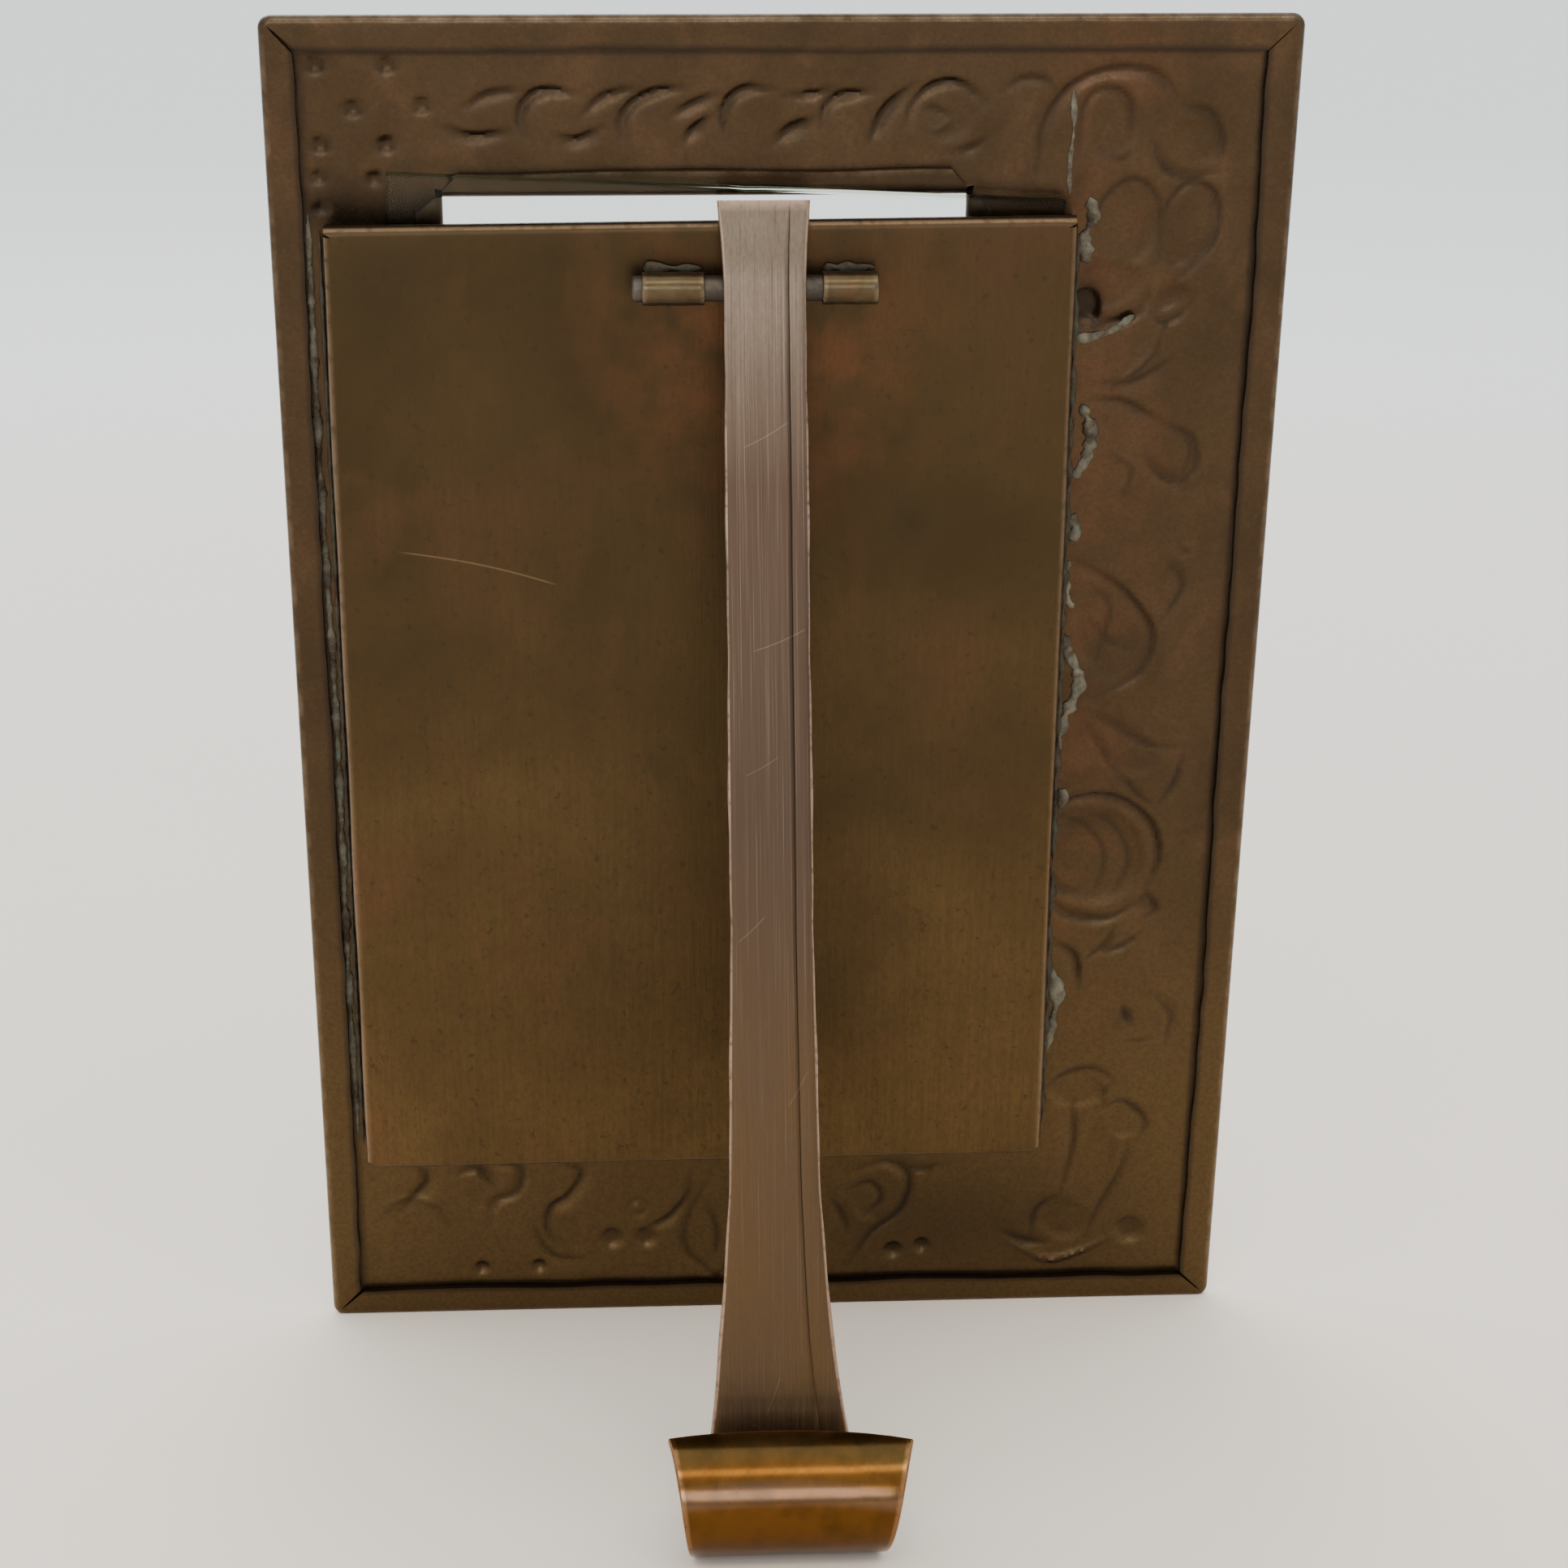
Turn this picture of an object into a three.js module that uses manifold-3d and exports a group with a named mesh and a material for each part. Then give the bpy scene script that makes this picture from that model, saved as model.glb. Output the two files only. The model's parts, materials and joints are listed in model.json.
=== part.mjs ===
// Easel-back photograph frame in hammered copper: an embossed face sheet with hemmed edges, a folded
// pocket soldered behind its window for the glass, and a strap strut on a rod turning in two tubes.
// Millimetres. The sheet is first built upright in XZ: X across, Y from the front face backwards, Z up
// the sheet. The upright assembly is then leaned back on its lower edge, towards the strut's foot.
import * as THREE from 'three';
import { mergeVertices } from 'three/addons/utils/BufferGeometryUtils.js';
import Module from 'manifold-3d';

const wasm = await Module();
wasm.setup();

// Stance
const LEAN = THREE.MathUtils.degToRad(11);
const STRUT_OPENING = THREE.MathUtils.degToRad(21.7);
const GAP = 0.3;

// Face sheet
const FACE_WIDTH = 135.8;
const FACE_HEIGHT = 200;
const SHEET = 0.9;
const HEM_WIDTH = 4.5;
const HEM_THICKNESS = 2;
const MITRE_SLIT = 0.35;
const FLOOR_FLAT = 0.2;
const FOLD_OVERLAP = 0.1;
const MITRE_LAP = 0.02;
const HAIR = 0.01;

// Window in the face sheet
const WINDOW_WIDTH = 69.2;
const WINDOW_CENTRE_X = 10.4;
const WINDOW_BOTTOM = 43.5;
const WINDOW_TOP = 176.2;
const LIP_WIDTH = 3.3;
const LIP_THICKNESS = 2;

// Raised work on the face: [x, z, half width, half height] of each domed boss
const BOSS_RISE = 1.3;
const BOSS_HOLLOW = 1;
const BOSSES = [
  [-46, 171.5, 4, 6],
  [-54.5, 172.5, 4, 6],
  [-43.8, 160, 5.4, 3.8],
  [-46, 77, 9.6, 9.6],
  [-54.5, 90, 3.4, 5.5],
  [-43, 17.5, 9, 6.5],
  [-19, 187, 5, 4.4],
  [17, 187, 5.5, 3.8],
  [44, 187, 5.5, 3.8],
  [38, 20, 8, 5],
  [8, 18, 6.5, 5.5],
];

// Pocket behind the window
const POCKET_WIDTH = 100;
const POCKET_HEIGHT = 144.9;
const POCKET_CENTRE = new THREE.Vector2(10.75, 102.2);
const POCKET_SKEW = THREE.MathUtils.degToRad(0.5);
const POCKET_BACK = 7.2;
const POCKET_BEND = 1.4;
const POCKET_HEM_WIDTH = 5;
const POCKET_HEM_THICKNESS = 2.4;

// Glass pane, standing crooked in the pocket
const PANE_WIDTH = 89.5;
const PANE_HEIGHT = 144.5;
const PANE_THICKNESS = 2;
const PANE_TILT = THREE.MathUtils.degToRad(2.6);
const PANE_LOW_CORNER = new THREE.Vector2(-30.7, 31.5);

// Hinge
const HINGE_Z = 166;
const TUBE_RADIUS = 2.2;
const TUBE_BORE = 1.83;
const TUBE_LEFT = [10.8, 19];
const TUBE_RIGHT = [-12, -4.7];
const ROD_RADIUS = 1.75;
const ROD_ENDS = [-11.4, 20.4];
const ROD_END_ROUNDING = 0.5;
const HINGE_Y = POCKET_BACK + GAP + TUBE_RADIUS;

// Strut: a strap whose foot is flared and rolled away from the sheet, and whose short tail above the
// hinge is set in towards the pocket, where it bears on the rolled top edge when the strut is open
const STRAP = 1.1;
const STRUT_X = 3;
const STRUT_TAIL = 11.2;
const TAIL_BEND_START = 2;
const TAIL_SET = THREE.MathUtils.degToRad(5.5);
const STRUT_ROWS = 12;
const STRUT_COLUMNS = 8;
const CURL_RADIUS = 8.5;
const CURL_STEP = THREE.MathUtils.degToRad(12);
const CURL_STEPS_BEFORE_FLOOR = 6;
const CURL_STEPS_AFTER_FLOOR = 15;
const CURL_END_BOW = 2.6;

// Half width of the strap: [distance below the hinge axis, half width]
const STRUT_HALF_WIDTHS = [
  [-11.2, 6.15],
  [-5, 5.55],
  [20, 5.55],
  [90, 5.6],
  [118, 6.1],
  [135, 7.2],
  [148, 8.7],
  [158, 10.6],
  [170, 13.6],
  [180, 14.9],
  [196, 16],
];

// Solder
const SEAM_LEG = 1.3;
const FILLET_LEG = 1.5;
const FILLET_ROOT = 0.6;
const ROD_SOLDER_LENGTH = 10.2;

const ROUND_SEGMENTS = 32;
const FOLD_SEGMENTS = 8;
const ROD_END_SEGMENTS = 3;
const DOME_RINGS = 4;
const DOME_SEGMENTS = 18;

// Level of the floor plane, measured square to it from the lower front edge of the upright sheet
const HEM_RADIUS = HEM_THICKNESS / 2;
const FLOOR_Z = HEM_RADIUS * (Math.cos(LEAN) - Math.sin(LEAN) - 1) + FLOOR_FLAT;

// Outlines in XZ: the face and its window, and the pocket about its own centre
const FACE = rectangle(0, FACE_WIDTH, 0, FACE_HEIGHT);
const WINDOW = rectangle(WINDOW_CENTRE_X, WINDOW_WIDTH, WINDOW_BOTTOM, WINDOW_TOP);
const POCKET = rectangle(0, POCKET_WIDTH, -POCKET_HEIGHT / 2, POCKET_HEIGHT / 2);

function solid(geometry) {
  const bare = geometry.clone();
  bare.deleteAttribute('normal');
  bare.deleteAttribute('uv');
  const welded = mergeVertices(bare);
  const triangles = [];
  for (let i = 0; i < welded.index.count; i += 3) {
    const [a, b, c] = welded.index.array.slice(i, i + 3);
    if (a !== b && b !== c && c !== a) triangles.push(a, b, c);
  }
  const mesh = new wasm.Mesh({
    numProp: 3,
    vertProperties: new Float32Array(welded.attributes.position.array),
    triVerts: new Uint32Array(triangles),
  });
  return new wasm.Manifold(mesh);
}

// The largest body of a boolean's result, without the empty slivers left where two faces coincide.
function geometryOf(manifold) {
  const bodies = manifold.decompose();
  bodies.sort((a, b) => b.volume() - a.volume());
  const mesh = bodies[0].getMesh();
  const geometry = new THREE.BufferGeometry();
  geometry.setAttribute('position', new THREE.BufferAttribute(mesh.vertProperties, 3));
  geometry.setIndex(new THREE.BufferAttribute(mesh.triVerts, 1));
  geometry.computeVertexNormals();
  return geometry;
}

// A closed prism along X. Each section point is (w, y): w is its distance from the folded edge along
// +Z and y its depth. reach(w) is how far its two ends stand from the middle.
function strip(section, reach) {
  const shape = section.map(([w, y]) => new THREE.Vector2(w, y));
  if (THREE.ShapeUtils.isClockWise(shape)) shape.reverse();
  const count = shape.length;
  const positions = [];
  for (const side of [-1, 1]) {
    for (const point of shape) positions.push(side * reach(point.x), point.y, point.x);
  }
  const indices = [];
  for (let i = 0; i < count; i += 1) {
    const next = (i + 1) % count;
    indices.push(i, count + i, next, next, count + i, count + next);
  }
  for (const [a, b, c] of THREE.ShapeUtils.triangulateShape(shape, [])) {
    indices.push(a, b, c, count + a, count + c, count + b);
  }
  const geometry = new THREE.BufferGeometry();
  geometry.setAttribute('position', new THREE.Float32BufferAttribute(positions, 3));
  geometry.setIndex(indices);
  return geometry;
}

// A strip whose ends are cut on the skew, reaching `flare` further out per unit of w.
function mitredStrip(section, length, flare) {
  return strip(section, (w) => length / 2 + flare * w);
}

// A section carried right round the rectangle, inset by w where sense is 1 and outset where it is -1.
function loop(section, { left, right, bottom, top }, sense) {
  const shape = section.map(([w, y]) => new THREE.Vector2(w, y));
  if (THREE.ShapeUtils.isClockWise(shape) === (sense > 0)) shape.reverse();
  const count = shape.length;
  const positions = [];
  for (const { x: w, y } of shape) {
    const inset = sense * w;
    positions.push(left + inset, y, bottom + inset, right - inset, y, bottom + inset);
    positions.push(right - inset, y, top - inset, left + inset, y, top - inset);
  }
  const indices = [];
  for (let i = 0; i < count; i += 1) {
    const next = (i + 1) % count;
    for (let corner = 0; corner < 4; corner += 1) {
      const after = (corner + 1) % 4;
      indices.push(4 * i + corner, 4 * i + after, 4 * next + corner);
      indices.push(4 * next + corner, 4 * i + after, 4 * next + after);
    }
  }
  const geometry = new THREE.BufferGeometry();
  geometry.setAttribute('position', new THREE.Float32BufferAttribute(positions, 3));
  geometry.setIndex(indices);
  return geometry;
}

// Points of the half-round fold that joins the front layer of the sheet to the layer turned back on it.
function foldSection(thickness) {
  const outer = thickness / 2;
  const inner = outer - SHEET;
  const points = [];
  for (let i = 0; i <= FOLD_SEGMENTS; i += 1) {
    const angle = (Math.PI * i) / FOLD_SEGMENTS;
    points.push([outer - outer * Math.sin(angle), outer - outer * Math.cos(angle)]);
  }
  points.push([outer + FOLD_OVERLAP, thickness], [outer + FOLD_OVERLAP, thickness - SHEET]);
  for (let i = FOLD_SEGMENTS; i >= 0; i -= 1) {
    const angle = (Math.PI * i) / FOLD_SEGMENTS;
    points.push([outer - inner * Math.sin(angle), outer - inner * Math.cos(angle)]);
  }
  points.push([outer + FOLD_OVERLAP, SHEET], [outer + FOLD_OVERLAP, 0]);
  return points;
}

function flapSection(thickness, width) {
  return [
    [thickness / 2, thickness - SHEET],
    [width, thickness - SHEET],
    [width, thickness],
    [thickness / 2, thickness],
  ];
}

function rectangle(centreX, width, bottom, top) {
  return { left: centreX - width / 2, right: centreX + width / 2, bottom, top };
}

// The four edges of a rectangle in XZ, each with the turn about Y that faces a strip inwards from it.
function edgesOf({ left, right, bottom, top }) {
  const width = right - left;
  const height = top - bottom;
  const centre = (left + right) / 2;
  const middle = (bottom + top) / 2;
  return [
    { length: width, x: centre, z: bottom, turn: 0 },
    { length: width, x: centre, z: top, turn: Math.PI },
    { length: height, x: right, z: middle, turn: -Math.PI / 2 },
    { length: height, x: left, z: middle, turn: Math.PI / 2 },
  ];
}

function onEdge(geometry, edge, outward) {
  return geometry.rotateY(edge.turn + (outward ? Math.PI : 0)).translate(edge.x, 0, edge.z);
}

function outline(path, { left, right, bottom, top }, inset) {
  path.moveTo(left + inset, bottom + inset);
  path.lineTo(right - inset, bottom + inset);
  path.lineTo(right - inset, top - inset);
  path.lineTo(left + inset, top - inset);
  path.closePath();
  return path;
}

function plateWithWindow() {
  const plate = outline(new THREE.Shape(), FACE, HEM_RADIUS);
  plate.holes.push(outline(new THREE.Path(), WINDOW, -LIP_THICKNESS / 2));
  const geometry = new THREE.ExtrudeGeometry(plate, { depth: SHEET, bevelEnabled: false });
  return geometry.rotateX(Math.PI / 2).translate(0, SHEET, 0);
}

// One domed boss: a low ellipsoid cap whose flat side lies at y = base and whose crown rises to -Y.
function dome(rise, base, halfWidth, halfHeight) {
  const profile = [];
  for (let i = 0; i <= DOME_RINGS; i += 1) {
    const angle = (Math.PI / 2) * (i / DOME_RINGS);
    profile.push(new THREE.Vector2(Math.sin(angle), -rise * Math.cos(angle)));
  }
  profile.push(new THREE.Vector2(1, base), new THREE.Vector2(0, base));
  return new THREE.LatheGeometry(profile, DOME_SEGMENTS).scale(halfWidth, 1, halfHeight);
}

function floorBlock() {
  const size = FACE_WIDTH * 2;
  const block = new THREE.BoxGeometry(size, size, size).translate(0, 0, -size / 2);
  return block.rotateX(LEAN).translate(0, 0, FLOOR_Z / Math.cos(LEAN));
}

// The layers that meet are set a hair apart in depth, so that no two faces coincide.
function faceSheet() {
  let sheet = solid(plateWithWindow());
  sheet = sheet.add(solid(loop(foldSection(HEM_THICKNESS), FACE, 1).translate(0, -HAIR, 0)));
  sheet = sheet.add(solid(loop(foldSection(LIP_THICKNESS), WINDOW, -1).translate(0, -HAIR, 0)));
  for (const edge of edgesOf(FACE)) {
    const flap = mitredStrip(flapSection(HEM_THICKNESS, HEM_WIDTH), edge.length - 2 * MITRE_SLIT, -1);
    sheet = sheet.add(solid(onEdge(flap, edge, false)));
  }
  for (const edge of edgesOf(WINDOW)) {
    const flap = mitredStrip(flapSection(LIP_THICKNESS, LIP_WIDTH), edge.length, -1);
    sheet = sheet.add(solid(onEdge(flap, edge, true)));
  }
  for (const [x, z, halfWidth, halfHeight] of BOSSES) {
    const crown = dome(BOSS_RISE, SHEET / 2, halfWidth, halfHeight);
    sheet = sheet.add(solid(crown.translate(x, HAIR, z)));
  }
  for (const [x, z, halfWidth, halfHeight] of BOSSES) {
    const hollow = dome(BOSS_HOLLOW, SHEET, halfWidth - SHEET, halfHeight - SHEET);
    sheet = sheet.subtract(solid(hollow.translate(x, SHEET + HAIR, z)));
  }
  return geometryOf(sheet.subtract(solid(floorBlock())));
}

// Quarter-round bend between a pocket wall and the plate, on the outer or the inner side of the sheet.
function wallBend(radius) {
  const points = [];
  for (let i = 0; i <= FOLD_SEGMENTS; i += 1) {
    const angle = (Math.PI / 2) * (i / FOLD_SEGMENTS);
    points.push([
      POCKET_BEND - radius * Math.cos(angle),
      POCKET_BACK - POCKET_BEND + radius * Math.sin(angle),
    ]);
  }
  return points;
}

// Section through a pocket wall, from just above the face sheet to its bend into the plate.
function wallSection(outerEnd, innerEnd) {
  const foot = SHEET + GAP;
  const outside = [[0, foot], ...wallBend(POCKET_BEND), ...outerEnd];
  const inside = [...innerEnd, ...wallBend(POCKET_BEND - SHEET).reverse(), [SHEET, foot]];
  return [...outside, ...inside];
}

// The pocket is one sheet: its plate with the wall below it and the rolled hem above it, turned inwards,
// and the walls at its two sides. The side walls lie a hair lower, so that no two faces coincide.
function backPocket() {
  const atTop = ([w, y]) => [POCKET_HEIGHT - w, POCKET_BACK - y];
  const fold = foldSection(POCKET_HEM_THICKNESS).map(atTop);
  const turned = flapSection(POCKET_HEM_THICKNESS, POCKET_HEM_WIDTH).slice(1, 3).map(atTop);
  const outerFold = fold.slice(0, FOLD_SEGMENTS + 1);
  const innerFold = fold.slice(FOLD_SEGMENTS + 3, 2 * FOLD_SEGMENTS + 4);
  const profile = wallSection([...outerFold, turned[1], turned[0]], innerFold);
  const reach = (w) => POCKET_WIDTH / 2 - Math.min(w, POCKET_BEND);
  const [bottom, , left, right] = edgesOf(POCKET);
  let pocket = solid(onEdge(strip(profile, reach), bottom, false));
  const flat = POCKET_BEND + FOLD_OVERLAP;
  const side = wallSection([[flat, POCKET_BACK]], [[flat, POCKET_BACK - SHEET]]);
  for (const edge of [left, right]) {
    const wall = mitredStrip(side, edge.length, MITRE_LAP - 1).translate(0, -HAIR, 0);
    pocket = pocket.add(solid(onEdge(wall, edge, false)));
  }
  return onPocket(geometryOf(pocket));
}

// Moves a shape built about the pocket's own centre to the pocket's slightly crooked place.
function onPocket(geometry) {
  return geometry.rotateY(POCKET_SKEW).translate(POCKET_CENTRE.x, 0, POCKET_CENTRE.y);
}

function glassPane() {
  const pane = new THREE.BoxGeometry(PANE_WIDTH, PANE_THICKNESS, PANE_HEIGHT);
  pane.translate(PANE_WIDTH / 2, LIP_THICKNESS + GAP + PANE_THICKNESS / 2, PANE_HEIGHT / 2);
  return pane.rotateY(-PANE_TILT).translate(PANE_LOW_CORNER.x, 0, PANE_LOW_CORNER.y);
}

// Turns a shape lathed about Y so that it lies along X, and moves it to start at x.
function alongX(geometry, x) {
  return geometry.rotateZ(-Math.PI / 2).translate(x, 0, 0);
}

function hingeTube([start, end]) {
  const length = end - start;
  const profile = [
    new THREE.Vector2(TUBE_BORE, 0),
    new THREE.Vector2(TUBE_RADIUS, 0),
    new THREE.Vector2(TUBE_RADIUS, length),
    new THREE.Vector2(TUBE_BORE, length),
    new THREE.Vector2(TUBE_BORE, 0),
  ];
  return alongX(new THREE.LatheGeometry(profile, ROUND_SEGMENTS), start);
}

function hingeRod() {
  const [start, end] = ROD_ENDS;
  const length = end - start;
  const profile = [new THREE.Vector2(0, 0)];
  const rounding = [];
  for (let i = 0; i <= ROD_END_SEGMENTS; i += 1) {
    const angle = (Math.PI / 2) * (i / ROD_END_SEGMENTS);
    const radius = ROD_RADIUS - ROD_END_ROUNDING * (1 - Math.sin(angle));
    rounding.push([radius, ROD_END_ROUNDING * (1 - Math.cos(angle))]);
  }
  for (const [radius, inset] of rounding) profile.push(new THREE.Vector2(radius, inset));
  for (const [radius, inset] of rounding.reverse()) profile.push(new THREE.Vector2(radius, length - inset));
  profile.push(new THREE.Vector2(0, length));
  return alongX(new THREE.LatheGeometry(profile, ROUND_SEGMENTS), start);
}

// Stance of the strut, seen from the side. Angles along the foot's curl count from where it leaves the
// straight strap; the curl is flat where one of its facets meets the floor.
const STRUT_SLOPE = STRUT_OPENING - LEAN;
const STRAP_Y = ROD_RADIUS + GAP + STRAP / 2;
const CURL_CENTRE_RADIUS = CURL_RADIUS - STRAP / 2;
const CURL_FLOOR_ANGLE = Math.PI / 2 - STRUT_SLOPE;
const HINGE_HEIGHT = HINGE_Z * Math.cos(LEAN) - HINGE_Y * Math.sin(LEAN) - FLOOR_Z;
const STRAIGHT_LENGTH = (HINGE_HEIGHT + (STRAP_Y + CURL_CENTRE_RADIUS) * Math.sin(STRUT_SLOPE)
  - CURL_RADIUS * Math.cos(CURL_STEP / 2)) / Math.cos(STRUT_SLOPE);

function strutHalfWidth(distance) {
  const table = STRUT_HALF_WIDTHS;
  const last = table.findIndex(([start], i) => i === table.length - 1 || distance < table[i + 1][0]);
  const [s0, w0] = table[Math.min(last, table.length - 2)];
  const [s1, w1] = table[Math.min(last, table.length - 2) + 1];
  return THREE.MathUtils.lerp(w0, w1, Math.min((distance - s0) / (s1 - s0), 1));
}

// Point of the strap at a distance along it and a depth through it, in the plane square to the hinge.
function strapPoint(distance, depth) {
  if (distance <= STRAIGHT_LENGTH) {
    const setIn = Math.max(-distance - TAIL_BEND_START, 0) * Math.tan(TAIL_SET);
    return [STRAP_Y + depth - setIn, -distance];
  }
  const angle = (distance - STRAIGHT_LENGTH) / CURL_CENTRE_RADIUS;
  const radius = CURL_CENTRE_RADIUS - depth;
  return [
    STRAP_Y + CURL_CENTRE_RADIUS - radius * Math.cos(angle),
    -STRAIGHT_LENGTH - radius * Math.sin(angle),
  ];
}

function strutStations() {
  const stations = [-STRUT_TAIL, -STRUT_TAIL / 2, -TAIL_BEND_START];
  for (let i = 1; i <= STRUT_ROWS; i += 1) stations.push((STRAIGHT_LENGTH * i) / STRUT_ROWS);
  for (let i = -CURL_STEPS_BEFORE_FLOOR; i <= CURL_STEPS_AFTER_FLOOR; i += 1) {
    const angle = CURL_FLOOR_ANGLE + (i - 0.5) * CURL_STEP;
    stations.push(STRAIGHT_LENGTH + CURL_CENTRE_RADIUS * angle);
  }
  return stations;
}

// The strap as a grid of rows along it and columns across it, on its two faces. The free end of the
// curl is cut to a bow, so its corners stop short of its middle.
function strapPositions(stations) {
  const floorRow = stations.length - CURL_STEPS_AFTER_FLOOR;
  const bowRows = CURL_STEPS_AFTER_FLOOR - 1;
  const positions = [];
  for (const face of [-1, 1]) {
    stations.forEach((station, row) => {
      const bow = Math.max(row - floorRow, 0) / bowRows;
      for (let column = 0; column <= STRUT_COLUMNS; column += 1) {
        const across = (2 * column) / STRUT_COLUMNS - 1;
        const distance = station - CURL_END_BOW * bow * across * across;
        const [y, z] = strapPoint(distance, (face * STRAP) / 2);
        positions.push(across * strutHalfWidth(station), y, z);
      }
    });
  }
  return positions;
}

// Triangles over both faces of the strap's grid, its two long edges and its two ends.
function strapIndices(rows) {
  const indices = [];
  const vertex = (face, row, column) => (face * rows + row) * (STRUT_COLUMNS + 1) + column;
  const quad = (a, b, c, d) => indices.push(a, b, c, a, c, d);
  const crossStrip = (first, second, row, column) => {
    quad(vertex(first, row, column), vertex(first, row, column + 1),
      vertex(second, row, column + 1), vertex(second, row, column));
  };
  const lengthStrip = (first, second, row, column) => {
    quad(vertex(first, row, column), vertex(second, row, column),
      vertex(second, row + 1, column), vertex(first, row + 1, column));
  };
  for (let row = 0; row < rows - 1; row += 1) {
    for (let column = 0; column < STRUT_COLUMNS; column += 1) {
      const across = [column, column + 1];
      const [left, right] = across.map((c) => [vertex(0, row, c), vertex(0, row + 1, c)]);
      quad(left[1], right[1], right[0], left[0]);
      const [near, far] = across.map((c) => [vertex(1, row, c), vertex(1, row + 1, c)]);
      quad(near[0], far[0], far[1], near[1]);
    }
    lengthStrip(0, 1, row, 0);
    lengthStrip(1, 0, row, STRUT_COLUMNS);
  }
  for (let column = 0; column < STRUT_COLUMNS; column += 1) {
    crossStrip(0, 1, 0, column);
    crossStrip(1, 0, rows - 1, column);
  }
  return indices;
}

function strutGeometry() {
  const stations = strutStations();
  const geometry = new THREE.BufferGeometry();
  geometry.setAttribute('position', new THREE.Float32BufferAttribute(strapPositions(stations), 3));
  geometry.setIndex(strapIndices(stations.length));
  geometry.computeVertexNormals();
  return geometry;
}

// A bead of solder in the angle between the outside of a pocket wall and the face sheet.
function seam(edge, length) {
  const section = [
    [GAP, SHEET + GAP],
    [GAP + SEAM_LEG, SHEET + GAP],
    [GAP, SHEET + GAP + SEAM_LEG],
  ];
  return onPocket(onEdge(mitredStrip(section, length, 0), edge, true));
}

// A solder fillet between a bar lying along X through the origin and a flat face at -Y, on the +Z side.
function barFillet(radius, length) {
  const face = -radius;
  const section = [
    [FILLET_ROOT, face],
    [radius + FILLET_LEG, face],
    [radius, face + FILLET_LEG],
    [FILLET_ROOT, face + FILLET_LEG],
  ];
  const bar = new THREE.CylinderGeometry(radius + GAP, radius + GAP, length * 2, ROUND_SEGMENTS);
  const fillet = solid(mitredStrip(section, length, 0));
  return geometryOf(fillet.subtract(solid(bar.rotateZ(Math.PI / 2))));
}

function metal(color, roughness, metalness) {
  return new THREE.MeshStandardMaterial({ color, roughness, metalness });
}

const COPPER_FACE = metal(0x5a3d2b, 0.45, 0.9);
const COPPER_POCKET = metal(0x54402a, 0.4, 0.9);
const COPPER_STRUT = metal(0x7d5a48, 0.35, 0.9);
const BRASS = metal(0x7a6a48, 0.4, 0.9);
const IRON = metal(0x3c3c40, 0.5, 0.9);
const SOLDER = metal(0x8a9088, 0.6, 0.8);
const GLASS = new THREE.MeshStandardMaterial({
  color: 0xbfe0d0,
  roughness: 0.05,
  metalness: 0,
  transparent: true,
  opacity: 0.35,
});

function part(name, geometry, material) {
  const mesh = new THREE.Mesh(geometry, material);
  mesh.name = name;
  return mesh;
}

function solderSeams() {
  const [bottom, , left, right] = edgesOf(POCKET);
  return [
    part('solder_seam_bottom', seam(bottom, POCKET_WIDTH), SOLDER),
    part('solder_seam_left', seam(left, POCKET_HEIGHT), SOLDER),
    part('solder_seam_right', seam(right, POCKET_HEIGHT), SOLDER),
  ];
}

function tubeWithSolder(side, span) {
  const group = new THREE.Group();
  group.position.set(0, HINGE_Y, HINGE_Z);
  const middle = (span[0] + span[1]) / 2;
  const length = span[1] - span[0];
  const upper = barFillet(TUBE_RADIUS, length).translate(middle, 0, 0);
  const lower = barFillet(TUBE_RADIUS, length).scale(-1, 1, -1).translate(middle, 0, 0);
  group.add(part(`hinge_tube_${side}`, hingeTube(span), BRASS));
  group.add(part(`solder_tube_${side}_upper`, upper, SOLDER));
  group.add(part(`solder_tube_${side}_lower`, lower, SOLDER));
  return group;
}

function strutWithRod() {
  const group = new THREE.Group();
  group.position.set(0, HINGE_Y, HINGE_Z);
  group.rotation.x = STRUT_OPENING;
  const upper = barFillet(ROD_RADIUS, ROD_SOLDER_LENGTH).scale(-1, -1, 1).translate(STRUT_X, 0, 0);
  const lower = barFillet(ROD_RADIUS, ROD_SOLDER_LENGTH).rotateX(Math.PI).translate(STRUT_X, 0, 0);
  group.add(part('strut', strutGeometry().translate(STRUT_X, 0, 0), COPPER_STRUT));
  group.add(part('hinge_rod', hingeRod(), IRON));
  group.add(part('solder_rod_upper', upper, SOLDER));
  group.add(part('solder_rod_lower', lower, SOLDER));
  return group;
}

const leaning = new THREE.Group();
leaning.rotation.x = -LEAN;
leaning.position.z = -FLOOR_Z;
leaning.add(
  part('face_sheet', faceSheet(), COPPER_FACE),
  part('back_pocket', backPocket(), COPPER_POCKET),
  part('glass_pane', glassPane(), GLASS),
  ...solderSeams(),
  tubeWithSolder('left', TUBE_LEFT),
  tubeWithSolder('right', TUBE_RIGHT),
  strutWithRod(),
);

// The origin is on the floor, under the middle of the footprint.
const photographFrame = new THREE.Group();
photographFrame.name = 'photograph_frame';
photographFrame.add(leaning);
photographFrame.updateMatrixWorld(true);
const footprint = new THREE.Box3().setFromObject(photographFrame, true);
leaning.position.y = -(footprint.min.y + footprint.max.y) / 2;

export default photographFrame;
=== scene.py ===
import json
import math

import bmesh
import bpy
import numpy as np
from mathutils import Matrix, Vector


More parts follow.
